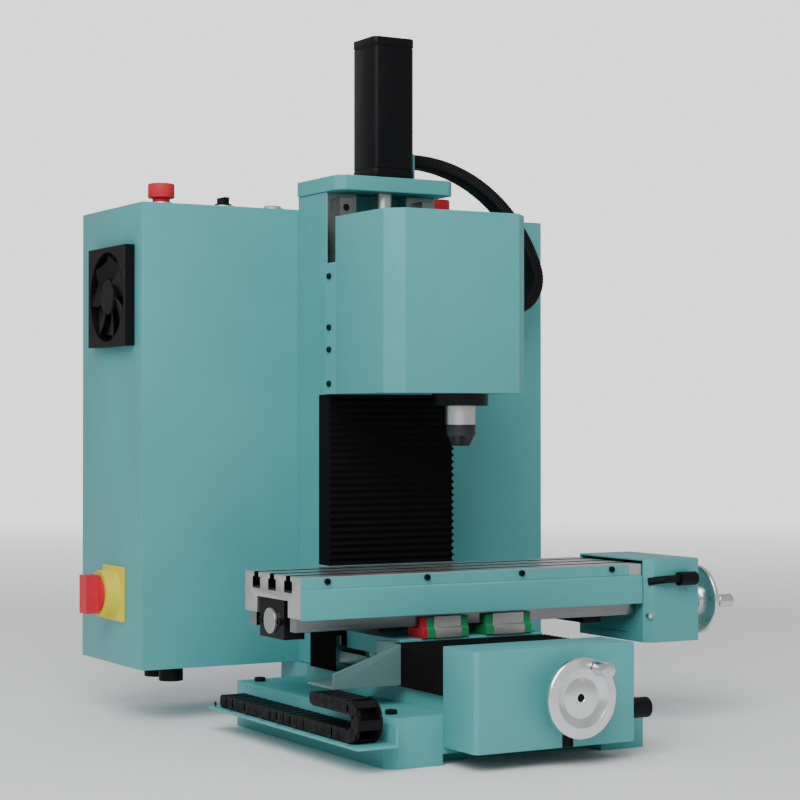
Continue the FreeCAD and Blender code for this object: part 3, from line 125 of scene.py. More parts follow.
class Recipe:
    """One material while its nodes are being added."""

    def __init__(self, name: str) -> None:
        """Start an empty node material with a Principled shader."""
        self.material = bpy.data.materials.new(name)
        self.material.use_nodes = True
        self.tree = self.material.node_tree
        self.tree.nodes.clear()
        self.shader = self.tree.nodes.new("ShaderNodeBsdfPrincipled")
        output = self.tree.nodes.new("ShaderNodeOutputMaterial")
        self.tree.links.new(self.shader.outputs[0], output.inputs[0])
        self.place = self.add("ShaderNodeTexCoord").outputs["Object"]

    def add(self, kind: str, settings: Optional[dict] = None,
            inputs: Optional[dict] = None) -> bpy.types.Node:
        """Add a node.

        Args:
            kind: The node's type name.
            settings: Its properties, set before its sockets.
            inputs: Its sockets by name or number, each a value, a socket or a Value.

        Returns:
            The new node.
        """
        node = self.tree.nodes.new(kind)
        for key, value in (settings or {}).items():
            if key == "stops":
                self._set_stops(node, value)
            else:
                setattr(node, key, value)
        for key, value in (inputs or {}).items():
            self.feed(node.inputs[key], value)
        return node

    def _set_stops(self, node: bpy.types.Node, stops: Sequence[tuple]) -> None:
        """Set the stops of a colour ramp from (position, colour) pairs."""
        ramp = node.color_ramp
        while len(ramp.elements) < len(stops):
            ramp.elements.new(0.5)
        for element, (position, colour) in zip(ramp.elements, stops):
            element.position = position
            element.color = (*colour, 1.0)

    def feed(self, socket: bpy.types.NodeSocket, value: object) -> None:
        """Set a socket to a constant or link it."""
        if isinstance(value, Value):
            value = value.socket
        if isinstance(value, bpy.types.NodeSocket):
            self.tree.links.new(value, socket)
        else:
            socket.default_value = value

    def set(self, **values: object) -> None:
        """Set constants or links on the Principled shader, with _ for a space."""
        for key, value in values.items():
            self.feed(self.shader.inputs[key.replace("_", " ")], value)

    def noise(self, scale: float, detail: float = 3.0, stretch: Point = (1, 1, 1)) -> Value:
        """Noise over the object's own coordinates.

        Args:
            scale: Features per metre.
            detail: Octaves.
            stretch: Factors on the three axes, small along a grain.

        Returns:
            The noise, from 0 to 1.
        """
        mapped = self.add("ShaderNodeMapping", None, {"Vector": self.place, "Scale": stretch})
        node = self.add("ShaderNodeTexNoise", None,
                        {"Vector": mapped.outputs[0], "Scale": scale, "Detail": detail})
        return Value(self, node.outputs["Fac"])

    def axis(self, name: str) -> Value:
        """One coordinate of the object's own space, "X", "Y" or "Z"."""
        split = self.add("ShaderNodeSeparateXYZ", None, {0: self.place})
        return Value(self, split.outputs[name])

    def blend(self, factor: object, first: object, second: object) -> bpy.types.NodeSocket:
        """Mix two colours by a factor."""
        node = self.add("ShaderNodeMix", {"data_type": "RGBA"}, {0: factor})
        for socket, colour in ((node.inputs[6], first), (node.inputs[7], second)):
            self.feed(socket, (*colour, 1.0) if isinstance(colour, tuple) else colour)
        return node.outputs[2]

    def relief(self, height: Value, strength: float, distance: float,
               under: Optional[bpy.types.NodeSocket] = None) -> bpy.types.NodeSocket:
        """Bump from a height, optionally over another bump."""
        node = self.add("ShaderNodeBump", None,
                        {"Height": height, "Strength": strength, "Distance": distance})
        if under is not None:
            self.feed(node.inputs["Normal"], under)
        return node.outputs[0]

    def limits(self, value: Value, low: float, high: float,
               to_low: float = 0.0, to_high: float = 1.0) -> Value:
        """Remap a value from one range to another, clamped."""
        node = self.add("ShaderNodeMapRange", {"clamp": True},
                        {0: value, 1: low, 2: high, 3: to_low, 4: to_high})
        return Value(self, node.outputs[0])


class Finish:
    """Base of the finishes: makes its material once and keeps it."""

    made: dict[str, bpy.types.Material] = {}
    name = "finish"
    slot = "teal_paint"

    def build(self, recipe: Recipe) -> None:
        """Fill in the recipe; each finish has its own."""
        raise NotImplementedError

    def material(self) -> bpy.types.Material:
        """The finished material."""
        if self.name not in Finish.made:
            recipe = Recipe(self.name)
            self.build(recipe)
            Finish.made[self.name] = recipe.material
        return Finish.made[self.name]


def shade(colour: Colour, factor: float) -> Colour:
    """A colour made lighter or darker by a factor."""
    return tuple(min(1.0, channel * factor) for channel in colour)


@dataclass(frozen=True)
class PowderCoat(Finish):
    """Baked paint with a faint orange peel."""

    name: str = "teal_powder_coat"
    slot: str = "teal_paint"
    colour: Colour = (0.085, 0.355, 0.372)
    roughness: float = 0.45

    def build(self, recipe: Recipe) -> None:
        """Orange peel in the bump, slow cloudiness in the colour and gloss."""
        cloud = recipe.limits(recipe.noise(9.0, 3.0), 0.3, 0.7)
        peel = recipe.noise(1100.0, 2.0)
        speckle = recipe.limits(recipe.noise(420.0, 4.0), 0.62, 0.74)
        base = recipe.blend(cloud, shade(self.colour, 0.96), shade(self.colour, 1.04))
        recipe.set(Base_Color=recipe.blend(speckle * 0.10, base, shade(self.colour, 0.8)))
        recipe.set(Roughness=cloud * 0.07 + (self.roughness - 0.03))
        recipe.set(Normal=recipe.relief(peel, 0.12, 0.00025))
        recipe.set(Specular_IOR_Level=0.35)


@dataclass(frozen=True)
class Metal(Finish):
    """Bare metal with a machining grain along one axis."""

    name: str = "machined_steel"
    slot: str = "machined_steel"
    colour: Colour = (0.62, 0.62, 0.63)
    roughness: float = 0.32
    grain: Point = (1.0, 1.0, 1.0)
    depth: float = 0.2
    metallic: float = 1.0

    def build(self, recipe: Recipe) -> None:
        """Grain stretched along the cut, with faint handling marks."""
        grain = recipe.noise(900.0, 3.0, self.grain)
        marks = recipe.limits(recipe.noise(22.0, 4.0), 0.35, 0.7)
        tone = recipe.limits(grain, 0.3, 0.7)
        recipe.set(Base_Color=recipe.blend(tone, shade(self.colour, 0.9),
                                           shade(self.colour, 1.06)))
        recipe.set(Roughness=marks * 0.10 + tone * 0.06 + (self.roughness - 0.08))
        recipe.set(Metallic=self.metallic)
        recipe.set(Normal=recipe.relief(grain, self.depth, 0.00008))


@dataclass(frozen=True)
class TurnedMetal(Finish):
    """Metal turned on a lathe: rings about an axis through a centre."""

    name: str = "turned_aluminium"
    slot: str = "aluminium"
    colour: Colour = (0.78, 0.79, 0.80)
    roughness: float = 0.22
    centre: Point = (0.0, 0.0, 0.0)
    along: str = "Y"

    def build(self, recipe: Recipe) -> None:
        """Fine concentric tool marks."""
        turn = {"X": (0.0, math.pi / 2, 0.0), "Y": (math.pi / 2, 0.0, 0.0),
                "Z": (0.0, 0.0, 0.0)}[self.along]
        centred = recipe.add("ShaderNodeVectorMath", {"operation": "SUBTRACT"},
                             {0: recipe.place, 1: self.centre})
        turned = recipe.add("ShaderNodeVectorRotate", {"rotation_type": "EULER_XYZ"},
                            {"Vector": centred.outputs[0], "Rotation": turn})
        flat = recipe.add("ShaderNodeVectorMath", {"operation": "MULTIPLY"},
                          {0: turned.outputs[0], 1: (1.0, 1.0, 0.0)})
        reach = recipe.add("ShaderNodeVectorMath", {"operation": "LENGTH"},
                           {0: flat.outputs[0]})
        radius = Value(recipe, reach.outputs["Value"])
        rings = (radius * 9000.0 + recipe.noise(60.0, 2.0) * 6.0).sine()
        marks = recipe.limits(recipe.noise(30.0, 4.0), 0.4, 0.75)
        recipe.set(Base_Color=recipe.blend(marks, self.colour, shade(self.colour, 0.93)))
        recipe.set(Roughness=marks * 0.10 + self.roughness)
        recipe.set(Metallic=1.0)
        recipe.set(Normal=recipe.relief(rings, 0.10, 0.00005))


@dataclass(frozen=True)
class Plastic(Finish):
    """Moulded plastic with a fine spark-eroded grain."""

    name: str = "black_plastic"
    slot: str = "black_plastic"
    colour: Colour = (0.018, 0.018, 0.02)
    roughness: float = 0.5
    grain: float = 0.15
    shine: float = 0.14

    def build(self, recipe: Recipe) -> None:
        """Grain in the bump, worn highlights in the gloss."""
        grain = recipe.noise(1500.0, 2.0)
        cloud = recipe.limits(recipe.noise(25.0, 3.0), 0.35, 0.7)
        recipe.set(Base_Color=recipe.blend(cloud, shade(self.colour, 0.92),
                                           shade(self.colour, 1.08)))
        recipe.set(Roughness=cloud * 0.10 + (self.roughness - 0.05))
        recipe.set(Normal=recipe.relief(grain, self.grain, 0.0001))
        recipe.set(Specular_IOR_Level=self.shine)


@dataclass(frozen=True)
class Cloth(Finish):
    """Coated cloth of the bellows: a fine plain weave under a matte skin."""

    name: str = "bellows_cloth"
    slot: str = "bellows_cloth"
    colour: Colour = (0.0035, 0.0033, 0.0035)
    pitch: float = 0.0008

    def build(self, recipe: Recipe) -> None:
        """Crossed ribs for the weave, dust in the folds."""
        turns = 2 * math.pi / self.pitch
        weave = (recipe.axis("X") * turns).sine() + (recipe.axis("Z") * turns).sine() \
            + (recipe.axis("Y") * turns).sine()
        dust = recipe.limits(recipe.noise(40.0, 4.0), 0.45, 0.8)
        recipe.set(Base_Color=recipe.blend(dust * 0.5, self.colour, shade(self.colour, 2.2)))
        recipe.set(Roughness=dust * 0.1 + 0.75)
        recipe.set(Normal=recipe.relief(weave, 0.12, 0.0001))
        recipe.set(Specular_IOR_Level=0.1)


@dataclass(frozen=True)
class SlottedIron(Metal):
    """Ground table top: bright end faces, and painted shade darkening the insides of the slots.
    """

    name: str = "ground_cast_iron"
    slot: str = "cast_iron"
    colour: Colour = (0.56, 0.56, 0.57)
    roughness: float = 0.30
    grain: Point = (0.02, 1.0, 1.0)
    depth: float = 0.18
    metallic: float = 0.85
    top: float = 0.193
    middle: float = -0.1515
    pitch: float = 0.0395
    half: float = 0.0095
    deep: float = 0.019
    neck: float = 0.0065
    lip: float = 0.0042

    def build(self, recipe: Recipe) -> None:
        """Paint shade on what lies under the top face in the three slots."""
        super().build(recipe)
        across, up = recipe.axis("Y"), recipe.axis("Z")
        # Painted shade: below the top face the three slots are blended to near black, standing
        # in for the shade in the recesses.
        painted_slot_shade = recipe.limits(up, self.top - 0.0012, self.top - 0.0006, 1.0, 0.0) \
            * recipe.limits(up, self.top - self.deep - 0.0005, self.top - self.deep)
        lips = recipe.limits(up, self.top - self.neck - 0.0002, self.top - self.neck + 0.0002,
                             0.0, self.lip)
        inside = Value(recipe, recipe.add("ShaderNodeValue").outputs[0])
        for number in (-1, 0, 1):
            gap = (across - (self.middle + number * self.pitch)).absolute() + lips
            inside = recipe.limits(gap, self.half, self.half + 0.0003, 1.0, 0.0) + inside
        bright = recipe.shader.inputs["Base Color"].links[0].from_socket
        recipe.set(Base_Color=recipe.blend(painted_slot_shade * inside, bright, (0.012, 0.012, 0.013)))


class Finishes(Enum):
    """Every finish on the machine."""

    TEAL = PowderCoat()
    BLACK_PAINT = Plastic("black_enamel", "black_paint", (0.0045, 0.0045, 0.0055), 0.40, 0.08)
    MOTOR = Plastic("motor_black", "black_paint", (0.0040, 0.0040, 0.0048), 0.42, 0.06)
    BLACK = Plastic("black_plastic", "black_plastic", (0.0045, 0.0045, 0.0055), 0.50)
    CHAIN = Plastic("chain_nylon", "black_plastic", (0.0060, 0.0055, 0.0062), 0.52, 0.2)
    RUBBER = Plastic("cable_rubber", "cable_rubber", (0.006, 0.006, 0.007), 0.6, 0.12)
    SCREW = Plastic("black_oxide", "black_paint", (0.006, 0.0065, 0.008), 0.42, 0.1)
    BRIGHT_SCREW = Metal("bright_screw", "zinc_sheet", (0.70, 0.71, 0.72), 0.28)
    RED = Plastic("red_gloss", "red_plastic", (0.62, 0.028, 0.045), 0.38, 0.05)
    YELLOW = Plastic("yellow_gloss", "yellow_plastic", (0.74, 0.64, 0.045), 0.42, 0.05)
    GREEN_BUTTON = Plastic("pale_green", "green_plastic", (0.22, 0.60, 0.38), 0.3, 0.04)
    GREEN_CAP = Plastic("end_cap_green", "green_plastic", (0.018, 0.24, 0.085), 0.5, 0.1)
    RED_CAP = Plastic("scraper_red", "red_plastic", (0.40, 0.018, 0.028), 0.5, 0.1)
    CLOTH = Cloth()
    CAST = SlottedIron()
    STEEL = Metal()
    DARK_STEEL = Metal("dark_steel", "hard_steel", (0.055, 0.056, 0.062), 0.34, (1, 1, 1), 0.1)
    RAIL_X = Metal("rail_ground_x", "hard_steel", (0.24, 0.24, 0.25), 0.26, (0.01, 1.0, 1.0),
                   0.15)
    RAIL_UP = Metal("rail_ground_up", "hard_steel", (0.22, 0.24, 0.24), 0.30,
                    (1.0, 1.0, 0.01), 0.15)
    BLOCK = Metal("block_ground", "block_steel", (0.40, 0.42, 0.41), 0.36, (0.05, 1.0, 1.0),
                  0.2, 0.8)
    ZINC = Metal("zinc_plate", "zinc_sheet", (0.62, 0.63, 0.64), 0.38)
    BRACKET = PowderCoat("grey_teal_paint", "teal_paint", (0.10, 0.185, 0.19), 0.42)


# ------------------------------------------------------------------ mesh building
@dataclass(frozen=True)
class Span:
    """Box of one or more nodes: lowest and highest corner."""

    low: Vector
    high: Vector

    @classmethod
    def of(cls, *nodes: str) -> "Span":
        """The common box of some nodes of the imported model."""
        boxes = [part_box(node) for node in nodes]
        low = Vector([min(b[0][i] for b in boxes) for i in range(3)])
        high = Vector([max(b[1][i] for b in boxes) for i in range(3)])
        return cls(low, high)

    @property
    def middle(self) -> Vector:
        """Centre of the box."""
        return (self.low + self.high) / 2

    @property
    def size(self) -> Vector:
        """Lengths of the box's sides."""
        return self.high - self.low


AXES = {"X": Vector((1, 0, 0)), "Y": Vector((0, 1, 0)), "Z": Vector((0, 0, 1))}


class Shape:
    """A mesh under construction."""

    def __init__(self) -> None:
        """Start empty."""
        self.mesh = bmesh.new()
        self.fresh: list[bmesh.types.BMVert] = []

    def _soften(self, faces: Iterable[bmesh.types.BMFace], width: float, segments: int) -> None:
        """Round the sharp edges of some faces."""
        if width <= 0:
            return
        edges = {edge for face in faces for edge in face.edges
                 if edge.is_manifold and edge.calc_face_angle(0) > math.radians(28)}
        bmesh.ops.bevel(self.mesh, geom=list(edges), offset=width, offset_type="OFFSET",
                        segments=segments, profile=0.5, affect="EDGES", material=-1,
                        clamp_overlap=True)

    def block(self, low: Sequence[float], high: Sequence[float], soft: float = 0.0006,
              segments: int = 2, turn: Optional[Matrix] = None) -> "Shape":
        """Add a box between two corners.

        Args:
            low: Lowest corner.
            high: Highest corner.
            soft: Radius of its edges.
            segments: Steps across an edge.
            turn: A transform applied about the box's centre.

        Returns:
            The shape, for chaining.
        """
        low, high = Vector(low), Vector(high)
        spin = turn if turn is not None else Matrix.Identity(4)
        place = Matrix.Translation((low + high) / 2) @ spin @ Matrix.Diagonal((*(high - low), 1))
        made = bmesh.ops.create_cube(self.mesh, size=1.0, matrix=place)
        faces = {face for vert in made["verts"] for face in vert.link_faces}
        self._soften(faces, soft, segments)
        return self

    def drum(self, start: Sequence[float], axis: str, length: float, radius: float,
             soft: float = 0.0005, steps: int = 48, end_radius: Optional[float] = None,
             segments: int = 2) -> "Shape":
        """Add a cylinder or a cone along an axis, from the centre of its first face.

        Args:
            start: Centre of the first face.
            axis: "X", "Y" or "Z".
            length: Length, negative to run the other way.
            radius: Radius at the start.
            soft: Radius of the two rims.
            steps: Sides of the cylinder.
            end_radius: Radius at the far end, if it differs.
            segments: Steps across a rim.

        Returns:
            The shape, for chaining.
        """
        way = AXES[axis] * (1 if length > 0 else -1)
        centre = Vector(start) + way * abs(length) / 2
        place = Matrix.Translation(centre) @ way.to_track_quat("Z", "Y").to_matrix().to_4x4()
        made = bmesh.ops.create_cone(
            self.mesh, cap_ends=True, segments=steps, radius1=radius,
            radius2=radius if end_radius is None else end_radius, depth=abs(length),
            matrix=place)
        faces = {face for vert in made["verts"] for face in vert.link_faces}
        self._soften(faces, soft, segments)
        return self

    def lathe(self, start: Sequence[float], axis: str, profile: Sequence[tuple],
              way: int = 1, steps: int = 64) -> "Shape":
        """Spin an open or closed profile about an axis.

        Args:
            start: Point on the axis from which distances count.
            axis: "X", "Y" or "Z".
            profile: (radius, distance) pairs.
            way: 1 or -1, the sense of the distances along the axis.
            steps: Steps of the full turn.

        Returns:
            The shape, for chaining.
        """
        along = AXES[axis] * way
        out = AXES["Z"] if axis != "Z" else AXES["X"]
        origin = Vector(start)
        verts = [self.mesh.verts.new(origin + out * radius + along * reach)
                 for radius, reach in profile]
        edges = [self.mesh.edges.new(pair) for pair in zip(verts, verts[1:])]
        before = set(self.mesh.faces)
        bmesh.ops.spin(self.mesh, geom=verts + edges, cent=origin, axis=along,
                       angle=2 * math.pi, steps=steps, use_merge=True, use_duplicate=False)
        made = [face for face in self.mesh.faces if face not in before]
        bmesh.ops.remove_doubles(self.mesh, verts=list({v for f in made for v in f.verts}),
                                 dist=1e-7)
        made = [face for face in self.mesh.faces if face not in before]
        bmesh.ops.recalc_face_normals(self.mesh, faces=made)
        self.fresh = list({vert for face in made for vert in face.verts})
        return self

    def prism(self, axis: str, outline: Sequence[tuple], low: float, high: float,
              soft: float = 0.0006, segments: int = 2) -> "Shape":
        """Extrude a closed outline along an axis.

        Args:
            axis: The axis of the extrusion; the outline is on the other two, in X, Y, Z order.
            outline: Corners of the outline.
            low: Where the prism starts on the axis.
            high: Where it ends.
            soft: Radius of its edges.
            segments: Steps across an edge.

        Returns:
            The shape, for chaining.
        """
        def corner(first: float, second: float) -> Vector:
            if axis == "X":
                return Vector((low, first, second))
            if axis == "Y":
                return Vector((first, low, second))
            return Vector((first, second, low))

        face = self.mesh.faces.new([self.mesh.verts.new(corner(*pair)) for pair in outline])
        pushed = bmesh.ops.extrude_face_region(self.mesh, geom=[face])
        moved = [item for item in pushed["geom"] if isinstance(item, bmesh.types.BMVert)]
        bmesh.ops.translate(self.mesh, verts=moved, vec=AXES[axis] * (high - low))
        faces = {f for vert in moved for f in vert.link_faces} | {face}
        bmesh.ops.recalc_face_normals(self.mesh, faces=list(faces))
        self._soften(faces, soft, segments)
        return self

    def node_copy(self, node: str, soft: float = 0.0008, segments: int = 2) -> "Shape":
        """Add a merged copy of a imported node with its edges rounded.

        Args:
            node: The node's name.
            soft: Radius of its edges.
            segments: Steps across an edge.

        Returns:
            The shape, for chaining.
        """
        before = set(self.mesh.faces)
        self.mesh.from_mesh(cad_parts[node].data)
        fresh = [face for face in self.mesh.faces if face not in before]
        verts = list({vert for face in fresh for vert in face.verts})
        bmesh.ops.remove_doubles(self.mesh, verts=verts, dist=2e-6)
        fresh = [face for face in self.mesh.faces if face not in before]
        verts = list({vert for face in fresh for vert in face.verts})
        edges = list({edge for face in fresh for edge in face.edges})
        bmesh.ops.dissolve_limit(self.mesh, angle_limit=math.radians(0.5), verts=verts,
                                 edges=edges)
        fresh = [face for face in self.mesh.faces if face not in before]
        self._soften(fresh, soft, segments)
        return self

    def finish(self, name: str, finish: Finishes, body: Optional[str],
               replaces: Sequence[str] = (), smooth: float = 21.0) -> bpy.types.Object:
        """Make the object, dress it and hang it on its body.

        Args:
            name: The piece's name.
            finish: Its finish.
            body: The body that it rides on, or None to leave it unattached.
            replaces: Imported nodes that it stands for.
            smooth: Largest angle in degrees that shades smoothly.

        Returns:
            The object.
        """
        data = bpy.data.meshes.new(name)
        self.mesh.to_mesh(data)
        self.mesh.free()
        for polygon in data.polygons:
            polygon.use_smooth = True
        data.set_sharp_from_angle(angle=math.radians(smooth))
        obj = bpy.data.objects.new(name, data)
        bpy.context.scene.collection.objects.link(obj)
        obj.data.materials.append(finish.value.material())
        if body is not None:
            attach(obj, body)
        if replaces:
            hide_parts(*replaces)
        LOG.info("%s: %d faces on %s", name, len(data.polygons), body or "two bodies")
        return obj


def dress(node: str, finish: Finishes) -> None:
    """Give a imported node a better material."""
    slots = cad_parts[node].data.materials
    slots.clear()
    slots.append(finish.value.material())


def rounded(node: str, finish: Finishes, body: str, soft: float = 0.0008,
            segments: int = 2) -> bpy.types.Object:
    """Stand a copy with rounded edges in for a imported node."""
    return Shape().node_copy(node, soft, segments).finish(node + "_piece", finish, body, [node])


def socket_screw(shape: Shape, seat: Sequence[float], axis: str, way: int, radius: float,
                 height: float) -> None:
    """Add a cylinder-head screw with a hexagon socket.

    Args:
        shape: The shape that it joins.
        seat: Centre of the head's underside.
        axis: The screw's axis.
        way: 1 or -1, the way that the head points.
        radius: Radius of the head.
        height: Height of the head.
    """
    hole, deep = radius * 0.5, height * 0.55
    shape.lathe(seat, axis, [(0, 0), (radius, 0), (radius, height * 0.86),
                             (radius * 0.92, height), (hole, height),
                             (hole, height - deep), (0, height - deep)], way, 24)
    seat = Vector(seat)
    for vert in shape.fresh:
        out = vert.co - seat
        out -= AXES[axis] * out.dot(AXES[axis])
        if abs(out.length - hole) < hole * 0.05:
            spare = [value for value, unit in zip(out, "XYZ") if unit != axis]
            turn = math.atan2(spare[1], spare[0]) % (math.pi / 3) - math.pi / 6
            vert.co += out * (1 / math.cos(turn) - 1)


def loose_parts(node: str) -> list[Span]:
    """Boxes of the separate solids of a node.

    Args:
        node: The node's name.

    Returns:
        One span for each solid, in the order of their lowest corners.
    """
    mesh = bmesh.new()
    mesh.from_mesh(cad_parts[node].data)
    bmesh.ops.remove_doubles(mesh, verts=mesh.verts, dist=2e-6)
    seen: set[bmesh.types.BMVert] = set()
    spans = []
    for seed in mesh.verts:
        if seed in seen:
            continue
        seen.add(seed)
        stack, places = [seed], []
        while stack:
            vert = stack.pop()
            places.append(vert.co.copy())
            for edge in vert.link_edges:
                other = edge.other_vert(vert)
                if other not in seen:
                    seen.add(other)
                    stack.append(other)
        spans.append(Span(Vector([min(p[i] for p in places) for i in range(3)]),
                          Vector([max(p[i] for p in places) for i in range(3)])))
    mesh.free()
    return sorted(spans, key=lambda span: tuple(round(value, 4) for value in span.low))


# ------------------------------------------------------------------ sub-assemblies
@dataclass
class Base:
    """Cast base with its ways, bearing blocks and bolts."""

    edge: float = 0.0014
    bolt_radius: float = 0.0065
    bolt_height: float = 0.0045
    bolts: tuple[Point, ...] = ((-0.158, -0.302, 0.053), (-0.158, 0.014, 0.053),
                                (0.123, -0.302, 0.053), (0.123, 0.014, 0.053))

    def build(self) -> None:
        """Build the base and everything bolted to it."""
        rounded("base_casting", Finishes.TEAL, "frame", self.edge, 3)
        rounded("frame_rails", Finishes.RAIL_UP, "frame", 0.0006)
        rounded("frame_bearing_blocks", Finishes.BLACK_PAINT, "frame", 0.0009)
        shape = Shape()
        for seat in self.bolts:
            socket_screw(shape, seat, "Z", 1, self.bolt_radius, self.bolt_height)
        shape.finish("base_bolts", Finishes.SCREW, "frame")


@dataclass
class Column:
    """Box column with its apron and top plate."""

    edge: float = 0.0012
    hole: float = 0.0042
    first: float = 0.613
    pitch: float = 0.060

    def build(self) -> None:
        """Build the column, its ground front face, and black discs of painted shade in the screw
        bores of its rails.
        """
        rounded("column", Finishes.TEAL, "frame", self.edge)
        rounded("column_apron", Finishes.TEAL, "frame", self.edge)
        rounded("top_plate", Finishes.TEAL, "frame", self.edge)
        column, rails = Span.of("column"), loose_parts("frame_rails")
        strip = Shape()
        strip.block((column.low.x + 0.0015, column.low.y - 0.0004, 0.190),
                    (-0.0345, column.low.y + 0.0004, column.high.z - 0.0015), 0.0002, 1)
        strip.block((0.0345, column.low.y - 0.0004, 0.190),
                    (column.high.x - 0.0015, column.low.y + 0.0004, column.high.z - 0.0015),
                    0.0002, 1)
        strip.finish("ground_front_face", Finishes.RAIL_UP, "frame")
        # Painted shade: a thin black disc sits in each screw hole of the column rails, standing
        # in for the shade inside the hole.
        rail_hole_shade = Shape()
        for rail in (part for part in rails if part.size.z > 0.3):
            for number in range(8):
                place = (rail.middle.x, rail.low.y - 0.0002, self.first - number * self.pitch)
                rail_hole_shade.drum(place, "Y", 0.002, self.hole, 0.0, 24)
        rail_hole_shade.finish("rail_hole_shade_discs", Finishes.BLACK, "frame")


@dataclass
class StepMotor:
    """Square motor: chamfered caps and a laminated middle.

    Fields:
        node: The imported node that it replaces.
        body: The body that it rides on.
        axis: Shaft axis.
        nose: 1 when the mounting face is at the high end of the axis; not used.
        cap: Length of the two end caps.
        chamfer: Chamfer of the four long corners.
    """

    node: str
    body: str
    axis: str
    nose: int
    cap: float = 0.010
    chamfer: float = 0.0052
    groove: float = 0.0009

    def outline(self, span: Span, inset: float) -> list[tuple]:
        """Chamfered square across the axis, inset from the node's box."""
        picks = [i for i in range(3) if "XYZ"[i] != self.axis]
        a, b = (span.middle[i] for i in picks)
        half = min(span.size[i] for i in picks) / 2 - inset
        cut = half - self.chamfer
        return [(a + i * half, b + j * cut) if first else (a + i * cut, b + j * half)
                for i, j, first in ((1, -1, True), (1, 1, True), (1, 1, False), (-1, 1, False),
                                    (-1, 1, True), (-1, -1, True), (-1, -1, False),
                                    (1, -1, False))]

    def build(self) -> None:
        """Build the motor."""
        span = Span.of(self.node)
        index = "XYZ".index(self.axis)
        low, high = span.low[index], span.high[index]
        shape = Shape()
        shape.prism(self.axis, self.outline(span, 0), low, low + self.cap, 0.0007)
        shape.prism(self.axis, self.outline(span, 0), high - self.cap, high, 0.0007)
        shape.prism(self.axis, self.outline(span, self.groove), low + self.cap - 0.0005,
                    high - self.cap + 0.0005, 0)
        shape.prism(self.axis, self.outline(span, 0.0004), low + self.cap + self.groove,
                    high - self.cap - self.groove, 0.0004, 1)
        shape.finish(self.node + "_piece", Finishes.MOTOR, self.body, [self.node], 25)


@dataclass
class Bellows:
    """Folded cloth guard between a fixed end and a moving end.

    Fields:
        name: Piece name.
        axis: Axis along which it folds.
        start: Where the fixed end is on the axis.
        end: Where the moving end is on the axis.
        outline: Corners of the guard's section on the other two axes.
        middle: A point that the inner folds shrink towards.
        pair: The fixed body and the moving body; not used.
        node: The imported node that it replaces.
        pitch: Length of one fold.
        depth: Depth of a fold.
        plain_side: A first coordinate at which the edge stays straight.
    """

    name: str
    axis: str
    start: float
    end: float
    outline: tuple[tuple[float, float], ...]
    middle: tuple[float, float]
    pair: tuple[str, str]
    node: str
    pitch: float = 0.0080
    depth: float = 0.0026
    cloth: float = 0.0006
    plain_side: Optional[float] = None

    def point(self, first: float, second: float, along: float) -> Vector:
        """A point from its two section coordinates and its place on the axis."""
        values = [first, second]
        values.insert("XYZ".index(self.axis), along)
        return Vector(values)

    def row(self, inner: float, along: float) -> list[Vector]:
        """Corners of the section, moved in by some depth, at a place on the axis."""
        places = []
        for first, second in self.outline:
            to = [self.middle[0] - first, self.middle[1] - second]
            if abs(to[0]) > 1e-6 and first != self.plain_side:
                first += math.copysign(min(inner, abs(to[0])), to[0])
            if abs(to[1]) > 1e-6:
                second += math.copysign(min(inner, abs(to[1])), to[1])
            places.append(self.point(first, second, along))
        return places

    def build(self) -> bpy.types.Object:
        """Build the folds by extruding the section's edges from ridge to valley."""
        count = max(3, round(abs(self.end - self.start) / self.pitch)) * 4
        shape = Shape()
        verts = [shape.mesh.verts.new(place) for place in self.row(0.0, self.start)]
        edges = [shape.mesh.edges.new(pair) for pair in zip(verts, verts[1:])]
        swing = (0.0, 0.72, 1.0, 0.72)
        for number in range(1, count + 1):
            pushed = bmesh.ops.extrude_edge_only(shape.mesh, edges=edges)
            new = [item for item in pushed["geom"] if isinstance(item, bmesh.types.BMVert)]
            edges = [item for item in pushed["geom"] if isinstance(item, bmesh.types.BMEdge)
                     and all(vert in new for vert in item.verts)]
            along = self.start + (self.end - self.start) * number / count
            targets = self.row(self.depth * swing[number % 4], along)
            matched = {}
            for vert in new:
                nearest = min(range(len(verts)), key=lambda i: (verts[i].co - vert.co).length)
                matched[nearest] = vert
            verts = [matched[i] for i in range(len(targets))]
            for vert, target in zip(verts, targets):
                vert.co = target
        bmesh.ops.recalc_face_normals(shape.mesh, faces=shape.mesh.faces)
        bmesh.ops.solidify(shape.mesh, geom=shape.mesh.faces[:], thickness=self.cloth)
        bmesh.ops.recalc_face_normals(shape.mesh, faces=shape.mesh.faces)
        piece = shape.finish(self.name, Finishes.CLOTH, None, [self.node], 35)
        inset = math.copysign(0.0015, self.end - self.start)
        tuple(self.point(*self.middle, self.start + inset))
        tuple(self.point(*self.middle, self.end - inset))
        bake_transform(piece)
        return piece


